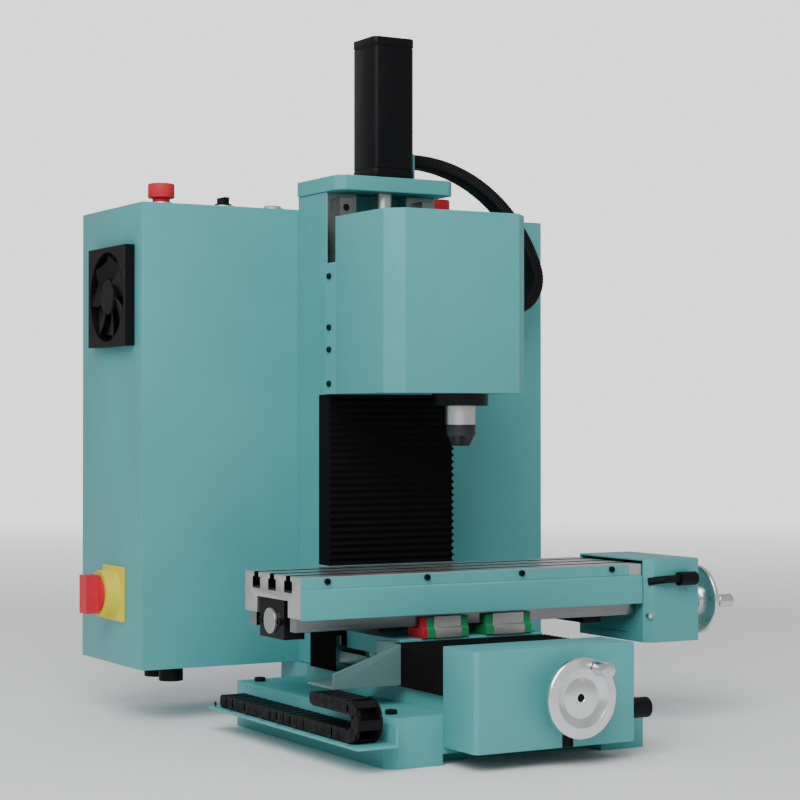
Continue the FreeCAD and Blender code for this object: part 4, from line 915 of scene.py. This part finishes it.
@dataclass
class ChainLink:
    """One link of a plastic energy chain, made about the origin, running along +X."""

    pitch: float
    height: float
    width: float
    wall: float = 0.0024

    def add(self, shape: Shape, place: Matrix) -> None:
        """Add the link to a shape, moved by a transform.

        Args:
            shape: The shape that it joins.
            place: From the link's own frame, X along the chain and Y across it.
        """
        before = set(shape.mesh.verts)
        half, tall = self.width / 2, self.height / 2
        body = self.pitch * 0.60
        for side in (-1, 1):
            outer = (side * half, side * (half - self.wall))
            inner = (side * (half - self.wall * 0.45), side * (half - self.wall * 1.5))
            shape.prism("Y", self._cheek(body, tall), min(outer), max(outer), 0.0004, 1)
            shape.drum((0, min(outer) - 0.0004 if side < 0 else max(outer) + 0.0004, 0), "Y",
                       0.0012 * -side, tall * 0.42, 0.0003, 14, segments=1)
            neck = [(x + self.pitch * 0.5, z * 0.86) for x, z in self._cheek(body * 0.7, tall)]
            shape.prism("Y", neck, min(inner), max(inner), 0, 1)
        for level in (-1, 1):
            bar = (self.pitch * 0.32, half - self.wall * 0.6, tall * 0.12)
            shape.block((-bar[0], -bar[1], level * (tall * 0.88) - bar[2]),
                        (bar[0], bar[1], level * (tall * 0.88) + bar[2]), 0.0003, 1)
        fresh = [vert for vert in shape.mesh.verts if vert not in before]
        bmesh.ops.transform(shape.mesh, matrix=place, verts=fresh)

    @staticmethod
    def _cheek(reach: float, tall: float) -> list[tuple]:
        """Outline of a side plate: an octagon as long as its reach on both sides."""
        cut = tall * 0.42
        return [(reach, -tall + cut), (reach, tall - cut), (reach - cut, tall),
                (-reach + cut, tall), (-reach, tall - cut), (-reach, -tall + cut),
                (-reach + cut, -tall), (reach - cut, -tall)]


class Track:
    """Distances along a path of points."""

    def __init__(self, path: Sequence[Vector]) -> None:
        """Measure the path."""
        self.path = list(path)
        self.reached = [0.0]
        for first, second in zip(self.path, self.path[1:]):
            self.reached.append(self.reached[-1] + (second - first).length)
        self.total = self.reached[-1]

    def _place(self, reach: float) -> Vector:
        """The point at a distance along the path."""
        for number, end in enumerate(self.reached[1:]):
            if reach <= end:
                share = (reach - self.reached[number]) / (end - self.reached[number])
                return self.path[number].lerp(self.path[number + 1], share)
        return self.path[-1].copy()

    def at(self, reach: float, step: float = 0.003) -> tuple[Vector, Vector]:
        """The point at a distance along the path, and the path's direction there."""
        ahead = self._place(min(self.total, reach + step))
        behind = self._place(max(0.0, reach - step))
        return self._place(reach), (ahead - behind).normalized()


@dataclass
class EnergyChain:
    """Chain of links along a path.

    Fields:
        name: Piece name.
        node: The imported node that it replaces.
        path: Points of the centre line, close together.
        across: The direction of the links' width.
        link: Size of a link.
    """

    name: str
    node: str
    path: list[Vector]
    across: Vector
    link: ChainLink

    def build(self) -> bpy.types.Object:
        """Place a link at every pitch along the path."""
        track = Track(self.path)
        count = round(track.total / self.link.pitch)
        shape = Shape()
        for number in range(count):
            centre, way = track.at(track.total * (number + 0.5) / count)
            up = way.cross(self.across)
            turn = Matrix((way, self.across, up)).transposed().to_4x4()
            self.link.add(shape, Matrix.Translation(centre) @ turn)
        return shape.finish(self.name, Finishes.CHAIN, None, [self.node], 30)


def arc(centre: Vector, radius: float, first: float, last: float, steps: int, u: Vector,
        v: Vector) -> list[Vector]:
    """Points along an arc in the plane of two directions, with its angles in degrees."""
    return [centre + u * radius * math.cos(math.radians(first + (last - first) * n / steps))
            + v * radius * math.sin(math.radians(first + (last - first) * n / steps))
            for n in range(steps + 1)]


@dataclass
class Conduit:
    """Flexible conduit of a rounded rectangular section with fine ribs along a path.

    Fields:
        name: Piece name.
        node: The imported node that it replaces.
        path: Points of the centre line.
        across: The direction of the section's width.
        wide: Width of the section.
        thick: Thickness of the section.
    """

    name: str
    node: str
    path: list[Vector]
    across: Vector
    wide: float
    thick: float
    corner: float = 0.0045
    rib: float = 0.0036
    groove: float = 0.0006

    def ring(self, centre: Vector, up: Vector, inset: float) -> list[Vector]:
        """Points of the section about a centre, in order."""
        places = []
        reach = (self.wide / 2 - self.corner, self.thick / 2 - self.corner)
        radius = self.corner - inset
        for quarter, (side, lift) in enumerate(((1, 1), (-1, 1), (-1, -1), (1, -1))):
            for step in range(5):
                turn = math.pi / 2 * (quarter + step / 4)
                places.append(centre + self.across * (side * reach[0] + radius * math.cos(turn))
                              + up * (lift * reach[1] + radius * math.sin(turn)))
        return places

    def build(self) -> bpy.types.Object:
        """Join rings placed along the path, deep and shallow in turn."""
        track = Track(self.path)
        count = round(track.total / self.rib) * 4
        shape = Shape()
        rows = []
        for number in range(count + 1):
            centre, way = track.at(track.total * number / count)
            inset = self.groove if number % 4 == 2 else 0.0
            rows.append([shape.mesh.verts.new(place)
                         for place in self.ring(centre, way.cross(self.across), inset)])
        size = len(rows[0])
        for row, following in zip(rows, rows[1:]):
            for i in range(size):
                shape.mesh.faces.new((row[i], row[(i + 1) % size], following[(i + 1) % size],
                                      following[i]))
        shape.mesh.faces.new(rows[0])
        shape.mesh.faces.new(reversed(rows[-1]))
        bmesh.ops.recalc_face_normals(shape.mesh, faces=shape.mesh.faces)
        return shape.finish(self.name, Finishes.CHAIN, None, [self.node], 30)


@dataclass
class CableWays:
    """Tray with the lower energy chain, its bracket, and the conduit up to the head."""

    sweep: float = 70.0
    big: float = 0.193
    small: float = 0.038
    thick: float = 0.016
    wide: float = 0.028
    pitch_low: float = 0.0165
    upper_end: float = -0.240

    def build(self) -> None:
        """Build the chain, the conduit and what carries them."""
        rounded("cable_tray", Finishes.TEAL, "frame", 0.0007)
        rounded("chain_bracket", Finishes.BRACKET, "saddle", 0.0008)
        tray = Span.of("cable_tray")
        shape = Shape()
        for number in range(9):
            y = tray.low.y + 0.02 + number * (tray.size.y - 0.04) / 8
            shape.lathe((tray.low.x, y, tray.low.z + 0.0075), "X",
                        [(0, 0), (0.0028, 0), (0.0022, 0.0012), (0, 0.0016)], -1, 16)
        shape.finish("tray_screws", Finishes.SCREW, "frame")
        self._low_chain()
        self._high_conduit()

    def _low_chain(self) -> None:
        """The chain from the tray, round its bend and back to the saddle."""
        span = Span.of("y_cable_chain")
        x, half = span.middle.x, 0.0075
        low, high = span.low.z + half, span.high.z - half
        turn = span.low.y + (span.high.z - span.low.z) / 2
        u, v = -AXES["Y"], AXES["Z"]
        path = [Vector((x, span.high.y, low)), Vector((x, turn, low))]
        path += arc(Vector((x, turn, (low + high) / 2)), (high - low) / 2, -90, 90, 24, u, v)
        path += [Vector((x, self.upper_end, high))]
        link = ChainLink(self.pitch_low, 2 * half, 0.0292)
        chain = EnergyChain("lower_energy_chain", "y_cable_chain", path, AXES["X"], link)
        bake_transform(chain.build())

    def _high_conduit(self) -> None:
        """The conduit that arches from the column's top down to the head."""
        span = Span.of("z_cable_conduit")
        y = span.middle.y
        start = Vector((span.low.x, y, span.high.z - self.thick / 2))
        u, v = AXES["X"], AXES["Z"]
        first = arc(start - v * self.big, self.big, 90, 90 - self.sweep, 40, u, v)
        out = u * math.cos(math.radians(90 - self.sweep)) \
            + v * math.sin(math.radians(90 - self.sweep))
        second = arc(first[-1] - out * self.small, self.small, 90 - self.sweep, -90, 24, u, v)
        foot = Vector((span.low.x, y, second[-1].z))
        path = [start] + first[1:] + second[1:]
        if foot.x < path[-1].x - 0.004:
            path.append(foot)
        conduit = Conduit("upper_conduit", "z_cable_conduit", path, -AXES["Y"], self.wide,
                          self.thick)
        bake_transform(conduit.build())


@dataclass
class CarriageBlocks:
    """Recirculating blocks of one axis: ground bodies, green end caps and red seals.

    Fields:
        node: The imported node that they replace.
        body: The body that they ride on.
        axis: The axis that they run along.
        rail: Axis from the block's foot to the rail, and its sense.
    """

    node: str
    body: str
    axis: str
    rail: tuple[str, int]
    cap: float = 0.0095
    seal: float = 0.0070
    slot_half: float = 0.0080
    slot_deep: float = 0.0125

    def section(self, part: Span, inset: float) -> list[tuple]:
        """Section of a block with its slot for the rail, inset all round."""
        deep = "XYZ".index(self.rail[0])
        wide = next(i for i in range(3) if i != deep and "XYZ"[i] != self.axis)
        middle, half = part.middle[wide], part.size[wide] / 2 - inset
        top, foot = part.low[deep], part.high[deep]
        if self.rail[1] > 0:
            top, foot = foot, top
        way = 1 if top > foot else -1
        top -= way * inset
        foot += way * inset
        floor = part.high[deep] - self.slot_deep if way > 0 else part.low[deep] + self.slot_deep
        waist = half - 0.0022
        mid = foot + (top - foot) * 0.42
        points = [(-half, foot), (half, foot), (half, mid), (waist, mid + way * 0.0022),
                  (waist, top), (self.slot_half, top), (self.slot_half, floor),
                  (-self.slot_half, floor), (-self.slot_half, top), (-waist, top),
                  (-waist, mid + way * 0.0022), (-half, mid)]
        placed = [(middle + across, up) for across, up in points]
        return placed if wide < deep else [(up, across) for across, up in placed]

    def build(self) -> None:
        """Build the blocks."""
        along = "XYZ".index(self.axis)
        bodies, caps, seals = Shape(), Shape(), Shape()
        parts = loose_parts(self.node)
        first = min(part.low[along] for part in parts)
        for part in parts:
            low, high = part.low[along], part.high[along]
            seal = self.seal if low < first + 0.001 else 0.0
            ends = (low + seal, low + seal + self.cap, high - self.cap, high)
            bodies.prism(self.axis, self.section(part, 0.0), ends[1], ends[2], 0.0005)
            caps.prism(self.axis, self.section(part, 0.0004), ends[0], ends[1], 0.0004, 1)
            caps.prism(self.axis, self.section(part, 0.0004), ends[2], ends[3], 0.0004, 1)
            if low < first + 0.001:
                seals.prism(self.axis, self.section(part, 0.0002), low, ends[0], 0.0004, 1)
        bodies.finish(self.node + "_bodies", Finishes.BLOCK, self.body, [self.node])
        caps.finish(self.node + "_caps", Finishes.GREEN_CAP, self.body)
        seals.finish(self.node + "_seals", Finishes.RED_CAP, self.body)


@dataclass
class Handwheel:
    """Turned aluminium handwheel with a dished face, and the grip that spins on it.

    Fields:
        wheel: The wheel's node.
        grip: The grip's node.
        axis: Its axis.
        way: The sense of the axis in which the wheel faces.
        bodies: The bodies of the wheel and of the grip.
    """

    wheel: str
    grip: str
    axis: str
    way: int
    bodies: tuple[str, str]
    bore: float = 0.0042

    def build(self) -> None:
        """Build the wheel, a black disc of painted shade in its bore, and the grip."""
        span, index = Span.of(self.wheel), "XYZ".index(self.axis)
        back = span.middle
        back[index] = span.low[index] if self.way > 0 else span.high[index]
        deep = span.size[index]
        radius = max(span.size) / 2
        profile = [(0, 0), (0.0205, 0), (0.0212, 0.0006), (0.0212, deep - 0.0085),
                   (radius - 0.0026, deep - 0.0070), (radius - 0.0006, deep - 0.0060),
                   (radius, deep - 0.0052), (radius, deep - 0.0012),
                   (radius - 0.0012, deep - 0.0001), (0.0308, deep), (0.0300, deep - 0.0006),
                   (0.0212, 0.0112), (0.0206, 0.0115), (self.bore + 0.0005, 0.0115),
                   (self.bore, 0.0110), (self.bore, 0.004), (0, 0.004)]
        centre = tuple(span.middle)
        shape = Shape().lathe(back, self.axis, profile, self.way, 96)
        finish = TurnedMetal(f"turned_{self.wheel}", centre=centre, along=self.axis)
        self._dress(shape, self.wheel + "_piece", finish, self.bodies[0], [self.wheel])
        # Painted shade: a black disc inside the bore stands in for the shade deep in the hole.
        bore_shade_disc = Shape().drum(back + AXES[self.axis] * self.way * 0.0045, self.axis,
                            self.way * 0.0050, self.bore * 0.98, 0.0003, 32)
        bore_shade_disc.finish(self.wheel + "_bore", Finishes.BLACK, self.bodies[0])
        self._grip()

    def _grip(self) -> None:
        """The grip: a stem, a rounded barrel and its screw."""
        span, index = Span.of(self.grip), "XYZ".index(self.axis)
        foot = span.middle
        foot[index] = span.low[index] if self.way > 0 else span.high[index]
        tall, radius = span.size[index], max(span.size[i] for i in range(3) if i != index) / 2
        profile = [(0, 0), (radius * 0.62, 0), (radius * 0.62, 0.0016),
                   (radius - 0.0010, 0.0016), (radius, 0.0026), (radius, tall - 0.0012),
                   (radius - 0.0004, tall - 0.0004), (radius - 0.0012, tall),
                   (radius * 0.34, tall), (radius * 0.30, tall - 0.0010), (0, tall - 0.0010)]
        shape = Shape().lathe(foot, self.axis, profile, self.way, 48)
        finish = TurnedMetal(f"turned_{self.grip}", centre=tuple(foot), along=self.axis,
                             colour=(0.70, 0.71, 0.72))
        self._dress(shape, self.grip + "_piece", finish, self.bodies[1], [self.grip])

    @staticmethod
    def _dress(shape: Shape, name: str, finish: TurnedMetal, body: str,
               replaced: Sequence[str]) -> None:
        """Finish a shape in turned metal centred on its own axis."""
        piece = shape.finish(name, Finishes.ZINC, body, replaced, 30)
        piece.data.materials.clear()
        piece.data.materials.append(finish.material())


@dataclass
class Saddle:
    """Saddle with its blocks and the lower bellows."""

    lip: float = 0.0012

    def build(self) -> None:
        """Build what moves front to back."""
        rounded("saddle", Finishes.TEAL, "saddle", self.lip)
        CarriageBlocks("y_rail_blocks", "saddle", "Y", ("Z", -1)).build()
        CarriageBlocks("x_rail_blocks", "saddle", "X", ("Z", 1)).build()
        span, saddle = Span.of("y_bellows"), Span.of("saddle")
        outline = ((span.low.x, span.low.z), (span.low.x, span.high.z),
                   (span.high.x, span.high.z), (span.high.x, span.low.z))
        middle = ((span.low.x + span.high.x) / 2, span.low.z)
        Bellows("front_bellows", "Y", span.low.y, saddle.low.y - 0.0005, outline, middle,
                ("frame", "saddle"), "y_bellows").build()
        Bellows("rear_bellows", "Y", span.high.y, saddle.high.y + 0.0005, outline, middle,
                ("frame", "saddle"), "y_bellows").build()


@dataclass
class FrontDrive:
    """Front casing with the motor, screw and handwheel of the Y axis."""

    edge: float = 0.0016

    def build(self) -> None:
        """Build the front drive."""
        rounded("front_casing", Finishes.TEAL, "frame", self.edge, 3)
        casing = Span.of("front_casing")
        back = casing.low.y + 0.0026
        Shape().block((-0.011, back, casing.low.z + 0.0005), (0.011, back + 0.0008, 0.060),
                      0.0, 1).finish("slot_shade", Finishes.MOTOR, "frame")
        rounded("y_motor_plate", Finishes.ZINC, "frame", 0.0006)
        StepMotor("y_motor", "frame", "Y", 1).build()
        rounded("y_ball_screw", Finishes.STEEL, "y_screw", 0.0003)
        Handwheel("y_handwheel", "y_handle_grip", "Y", -1, ("y_screw", "y_grip")).build()
        rounded("cable_glands", Finishes.BLACK, "frame", 0.0006)


@dataclass
class Table:
    """Slotted table, its cover, rails and bearing blocks."""

    edge: float = 0.0006

    def build(self) -> None:
        """Build what moves from side to side, without its drive."""
        rounded("table_top", Finishes.CAST, "table", self.edge)
        self._cover()
        rounded("x_rails", Finishes.RAIL_X, "table", 0.0005)
        rounded("x_bearing_blocks", Finishes.BLACK_PAINT, "table", 0.0008)
        shape = Shape()
        for part in loose_parts("table_cover_screws"):
            seat = (part.middle.x, part.high.y, part.middle.z)
            socket_screw(shape, seat, "Y", -1, part.size.z / 2, part.size.y)
        shape.finish("cover_screws", Finishes.SCREW, "table", ["table_cover_screws"])
        self._end_cap()


    @staticmethod
    def _cover() -> None:
        """The folded front cover: a short strip over a longer face, joined by a slope."""
        span = Span.of("table_cover")
        low, high, face = span.low, span.high, span.high.y
        step, fold = low.y + 0.0025, high.z - 0.0128
        shape = Shape()
        shape.prism("X", [(face, high.z - 0.0010), (step, high.z - 0.0010), (step, fold),
                          (face, fold)], low.x, high.x - 0.019, 0.0005)
        shape.prism("X", [(face, fold), (step, fold), (low.y, fold - 0.0020), (low.y, low.z),
                          (face, low.z)], low.x, high.x - 0.002, 0.0005)
        shape.finish("table_cover_piece", Finishes.TEAL, "table", ["table_cover"])

    @staticmethod
    def _end_cap() -> None:
        """The round end cover of the left bearing with its two screws."""
        span = Span.of("x_bearing_blocks")
        centre = Vector((span.low.x + 0.003, -0.1515, 0.141))
        disc = Shape().drum(centre, "X", -0.0034, 0.0142, 0.0006, 48)
        disc.finish("bearing_end_cap", Finishes.BLOCK, "table")
        shape = Shape()
        for side in (-1, 1):
            socket_screw(shape, centre + Vector((0, side * 0.0215, 0)), "X", -1, 0.0040, 0.0036)
        shape.finish("bearing_screws", Finishes.SCREW, "table")


@dataclass
class SideDrive:
    """Casing, motor, screw, cable and handwheel at the table's right end."""

    edge: float = 0.0012

    def build(self) -> None:
        """Build the side drive."""
        rounded("x_casing", Finishes.TEAL, "table", self.edge, 3)
        casing, shape = Span.of("x_casing"), Shape()
        socket_screw(shape, (casing.low.x + 0.0045, casing.low.y + 0.0045, 0.1316), "Y", -1,
                     0.0034, 0.0052)
        shape.finish("casing_screw", Finishes.BRIGHT_SCREW, "table")
        rounded("x_motor_plate", Finishes.TEAL, "table", 0.0006)
        StepMotor("x_motor", "table", "X", -1).build()
        rounded("x_ball_screw", Finishes.STEEL, "x_screw", 0.0003)
        Handwheel("x_handwheel", "x_handle_grip", "X", 1, ("x_screw", "x_grip")).build()
        rounded("x_cable_elbow", Finishes.BLACK, "table", 0.0006)
        dress("x_cable", Finishes.RUBBER)


@dataclass
class Head:
    """Carriage, cover and spindle."""

    edge: float = 0.0012

    def build(self) -> None:
        """Build what moves up and down."""
        rounded("z_carriage", Finishes.TEAL, "head", 0.0009)
        rounded("head_cover", Finishes.TEAL, "head", self.edge, 3)
        CarriageBlocks("z_rail_blocks", "head", "Z", ("Y", 1)).build()
        rounded("z_ball_screw", Finishes.ZINC, "z_screw", 0.0003)
        shape = Shape()
        for part in loose_parts("head_screws"):
            seat = (part.high.x, part.middle.y, part.middle.z)
            socket_screw(shape, seat, "X", -1, part.size.z / 2, part.size.x)
        shape.finish("carriage_screws", Finishes.SCREW, "head", ["head_screws"])
        rounded("spindle_housing", Finishes.BLACK_PAINT, "head", 0.0007)
        rounded("spindle_motor", Finishes.MOTOR, "head", 0.0007)
        rounded("spindle_shaft", Finishes.STEEL, "spindle", 0.0004)
        rounded("collet_nut", Finishes.DARK_STEEL, "spindle", 0.0004)
        span = Span.of("z_bellows")
        outline = ((span.low.x, span.high.y), (span.low.x, span.low.y),
                   (span.high.x, span.low.y), (span.high.x, span.high.y))
        Bellows("column_bellows", "Z", span.low.z, span.high.z, outline,
                (span.middle.x, span.high.y), ("frame", "head"), "z_bellows",
                plain_side=span.low.x).build()


@dataclass
class Fan:
    """Axial fan on the cabinet's side: frame with struts, and a bladed rotor."""

    blades: int = 7
    hub: float = 0.021
    twist: float = 34.0

    def build(self) -> None:
        """Build the fan, with a black disc of painted shade behind its rotor."""
        rounded("fan_frame", Finishes.BLACK, "frame", 0.0006)
        # Painted shade: a black disc at the back of the frame stands in for the dark inside of
        # the cabinet seen through the fan.
        wall = Span.of("fan_frame")
        back = (wall.high.x - 0.0006, wall.middle.y, wall.middle.z)
        Shape().drum(back, "X", 0.0005, wall.size.y / 2 - 0.004, 0.0, 64).finish(
            "fan_shade_disc", Finishes.MOTOR, "frame")
        span = Span.of("fan_rotor")
        frame_span = Span.of("fan_frame")
        centre = frame_span.middle
        tip = frame_span.size.y / 2 - 0.0085
        shape = Shape()
        shape.lathe((span.high.x, centre.y, centre.z), "X",
                    [(0, 0), (self.hub, 0), (self.hub, span.size.x - 0.0012),
                     (self.hub - 0.0012, span.size.x), (0, span.size.x)], -1, 48)
        for number in range(self.blades):
            self._blade(shape, centre, span, tip, 360 / self.blades * number)
        shape.finish("fan_rotor_piece", Finishes.BLACK, "fan", ["fan_rotor"], 30)

    def _blade(self, shape: Shape, centre: Vector, span: Span, tip: float,
               angle: float) -> None:
        """Add one swept blade, extruded outwards from the hub in steps."""
        middle = (span.low.x + span.high.x) / 2
        half = span.size.x / 2 - 0.0004
        steps = 5
        rows = []
        for step in range(steps + 1):
            share = step / steps
            radius = self.hub - 0.001 + (tip - self.hub) * share
            width = math.radians(24 + 1.5 * share)
            sweep = math.radians(angle + 16 * share)
            points = []
            for side, lift in ((-1, -1), (1, 1)):
                turn = sweep + side * width
                points.append(Vector((middle + lift * half, centre.y + radius * math.cos(turn),
                                      centre.z + radius * math.sin(turn))))
            rows.append(points)
        verts = [shape.mesh.verts.new(place) for place in rows[0]]
        edges = [shape.mesh.edges.new(verts)]
        faces = []
        for points in rows[1:]:
            pushed = bmesh.ops.extrude_edge_only(shape.mesh, edges=edges)
            new = [item for item in pushed["geom"] if isinstance(item, bmesh.types.BMVert)]
            faces += [item for item in pushed["geom"] if isinstance(item, bmesh.types.BMFace)]
            edges = [item for item in pushed["geom"] if isinstance(item, bmesh.types.BMEdge)
                     and all(vert in new for vert in item.verts)]
            ordered = sorted(new, key=lambda v: min(((v.co - old.co).length, i)
                                                    for i, old in enumerate(verts))[1])
            verts = ordered
            for vert, target in zip(ordered, points):
                vert.co = target
        bmesh.ops.recalc_face_normals(shape.mesh, faces=faces)
        bmesh.ops.solidify(shape.mesh, geom=faces, thickness=0.0012)


@dataclass
class Cabinet:
    """Control cabinet with its door, switches, fan and what is inside."""

    edge: float = 0.0016

    def build(self) -> None:
        """Build the cabinet."""
        rounded("cabinet_shell", Finishes.TEAL, "frame", self.edge, 3)
        rounded("cabinet_door", Finishes.TEAL, "frame", 0.0006)
        rounded("mounting_plate", Finishes.ZINC, "frame", 0.0006)
        for node in ("power_supply", "motor_drivers", "control_unit"):
            rounded(node, Finishes.BLACK_PAINT, "frame", 0.001)
        rounded("switch_plate", Finishes.YELLOW, "frame", 0.0008)
        rounded("main_switch_knob", Finishes.RED, "main_switch", 0.001)
        rounded("button_bezels", Finishes.ZINC, "frame", 0.0008)
        rounded("stop_button", Finishes.RED, "stop", 0.0016, 3)
        rounded("selector_knob", Finishes.BLACK, "selector", 0.0006)
        rounded("start_button", Finishes.GREEN_BUTTON, "start", 0.0006)
        rounded("reset_button", Finishes.RED, "reset", 0.0016, 3)
        Fan().build()


@dataclass
class Studio:
    """Floor, lights and camera."""

    turn: float = 29.44
    pitch: float = 0.52
    focal: float = 94.23
    place: Point = (-1.2255, -2.2122, 0.3608)
    seen: Colour = (1.70, 1.70, 1.69)
    grey: Colour = (0.48, 0.48, 0.48)

    def build(self) -> None:
        """Build the stage."""
        self._floor()
        self._world()
        self._area("key", (-1.7, -2.0, 2.3), 2.4, 98.0)
        self._area("fill", (2.4, -1.4, 1.6), 2.6, 1.0)
        self._area("back", (0.4, 2.2, 2.2), 2.4, 12.0)
        camera = bpy.data.cameras.new("camera")
        camera.lens = self.focal
        camera.sensor_width = 36.0
        camera.clip_end = 100.0
        obj = bpy.data.objects.new("camera", camera)
        bpy.context.scene.collection.objects.link(obj)
        obj.location = self.place
        obj.rotation_euler = (math.radians(90 + self.pitch), 0, math.radians(-self.turn))
        bpy.context.scene.camera = obj

    def _floor(self) -> None:
        """A wide pale floor that fades out towards the horizon."""
        mesh = bmesh.new()
        bmesh.ops.create_circle(mesh, cap_ends=True, segments=96, radius=14.0,
                                matrix=Matrix.Translation((0, 0, -0.0002)))
        data = bpy.data.meshes.new("floor")
        mesh.to_mesh(data)
        mesh.free()
        floor = bpy.data.objects.new("floor", data)
        bpy.context.scene.collection.objects.link(floor)
        recipe = Recipe("floor_grey")
        flat = recipe.add("ShaderNodeVectorMath", {"operation": "LENGTH"}, {0: recipe.place})
        reach = Value(recipe, flat.outputs["Value"])
        recipe.set(Base_Color=(0.93, 0.93, 0.93, 1.0), Roughness=0.9, Specular_IOR_Level=0.1,
                   Alpha=recipe.limits(reach, 1.5, 5.0, 1.0, 0.0))
        data.materials.append(recipe.material)

    def _world(self) -> None:
        """An even pale surround."""
        world = bpy.data.worlds.new("surround")
        world.use_nodes = True
        tree = world.node_tree
        output = tree.nodes["World Output"]
        lit = tree.nodes["Background"]
        lit.inputs["Color"].default_value = (*self.grey, 1.0)
        seen = tree.nodes.new("ShaderNodeBackground")
        seen.inputs["Color"].default_value = (*self.seen, 1.0)
        ray = tree.nodes.new("ShaderNodeLightPath")
        mix = tree.nodes.new("ShaderNodeMixShader")
        tree.links.new(ray.outputs["Is Camera Ray"], mix.inputs[0])
        tree.links.new(lit.outputs[0], mix.inputs[1])
        tree.links.new(seen.outputs[0], mix.inputs[2])
        tree.links.new(mix.outputs[0], output.inputs[0])
        bpy.context.scene.world = world

    @staticmethod
    def _area(name: str, place: Point, size: float, power: float) -> None:
        """A square area light aimed at the machine's middle."""
        data = bpy.data.lights.new(name, "AREA")
        data.shape = "SQUARE"
        data.size = size
        data.energy = power
        obj = bpy.data.objects.new(name, data)
        bpy.context.scene.collection.objects.link(obj)
        obj.location = place
        aim = Vector((0.0, 0.0, 0.35)) - obj.location
        obj.rotation_euler = aim.to_track_quat("-Z", "Y").to_euler()


def main() -> None:
    """Build the machine, piece by piece."""
    logging.basicConfig(level=logging.INFO, format="%(message)s")
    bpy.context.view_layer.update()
    Studio().build()
    Base().build()
    Column().build()
    StepMotor("z_motor", "frame", "Z", -1).build()
    CableWays().build()
    Saddle().build()
    FrontDrive().build()
    Table().build()
    SideDrive().build()
    Head().build()
    Cabinet().build()


if __name__ == "__main__":
    main()
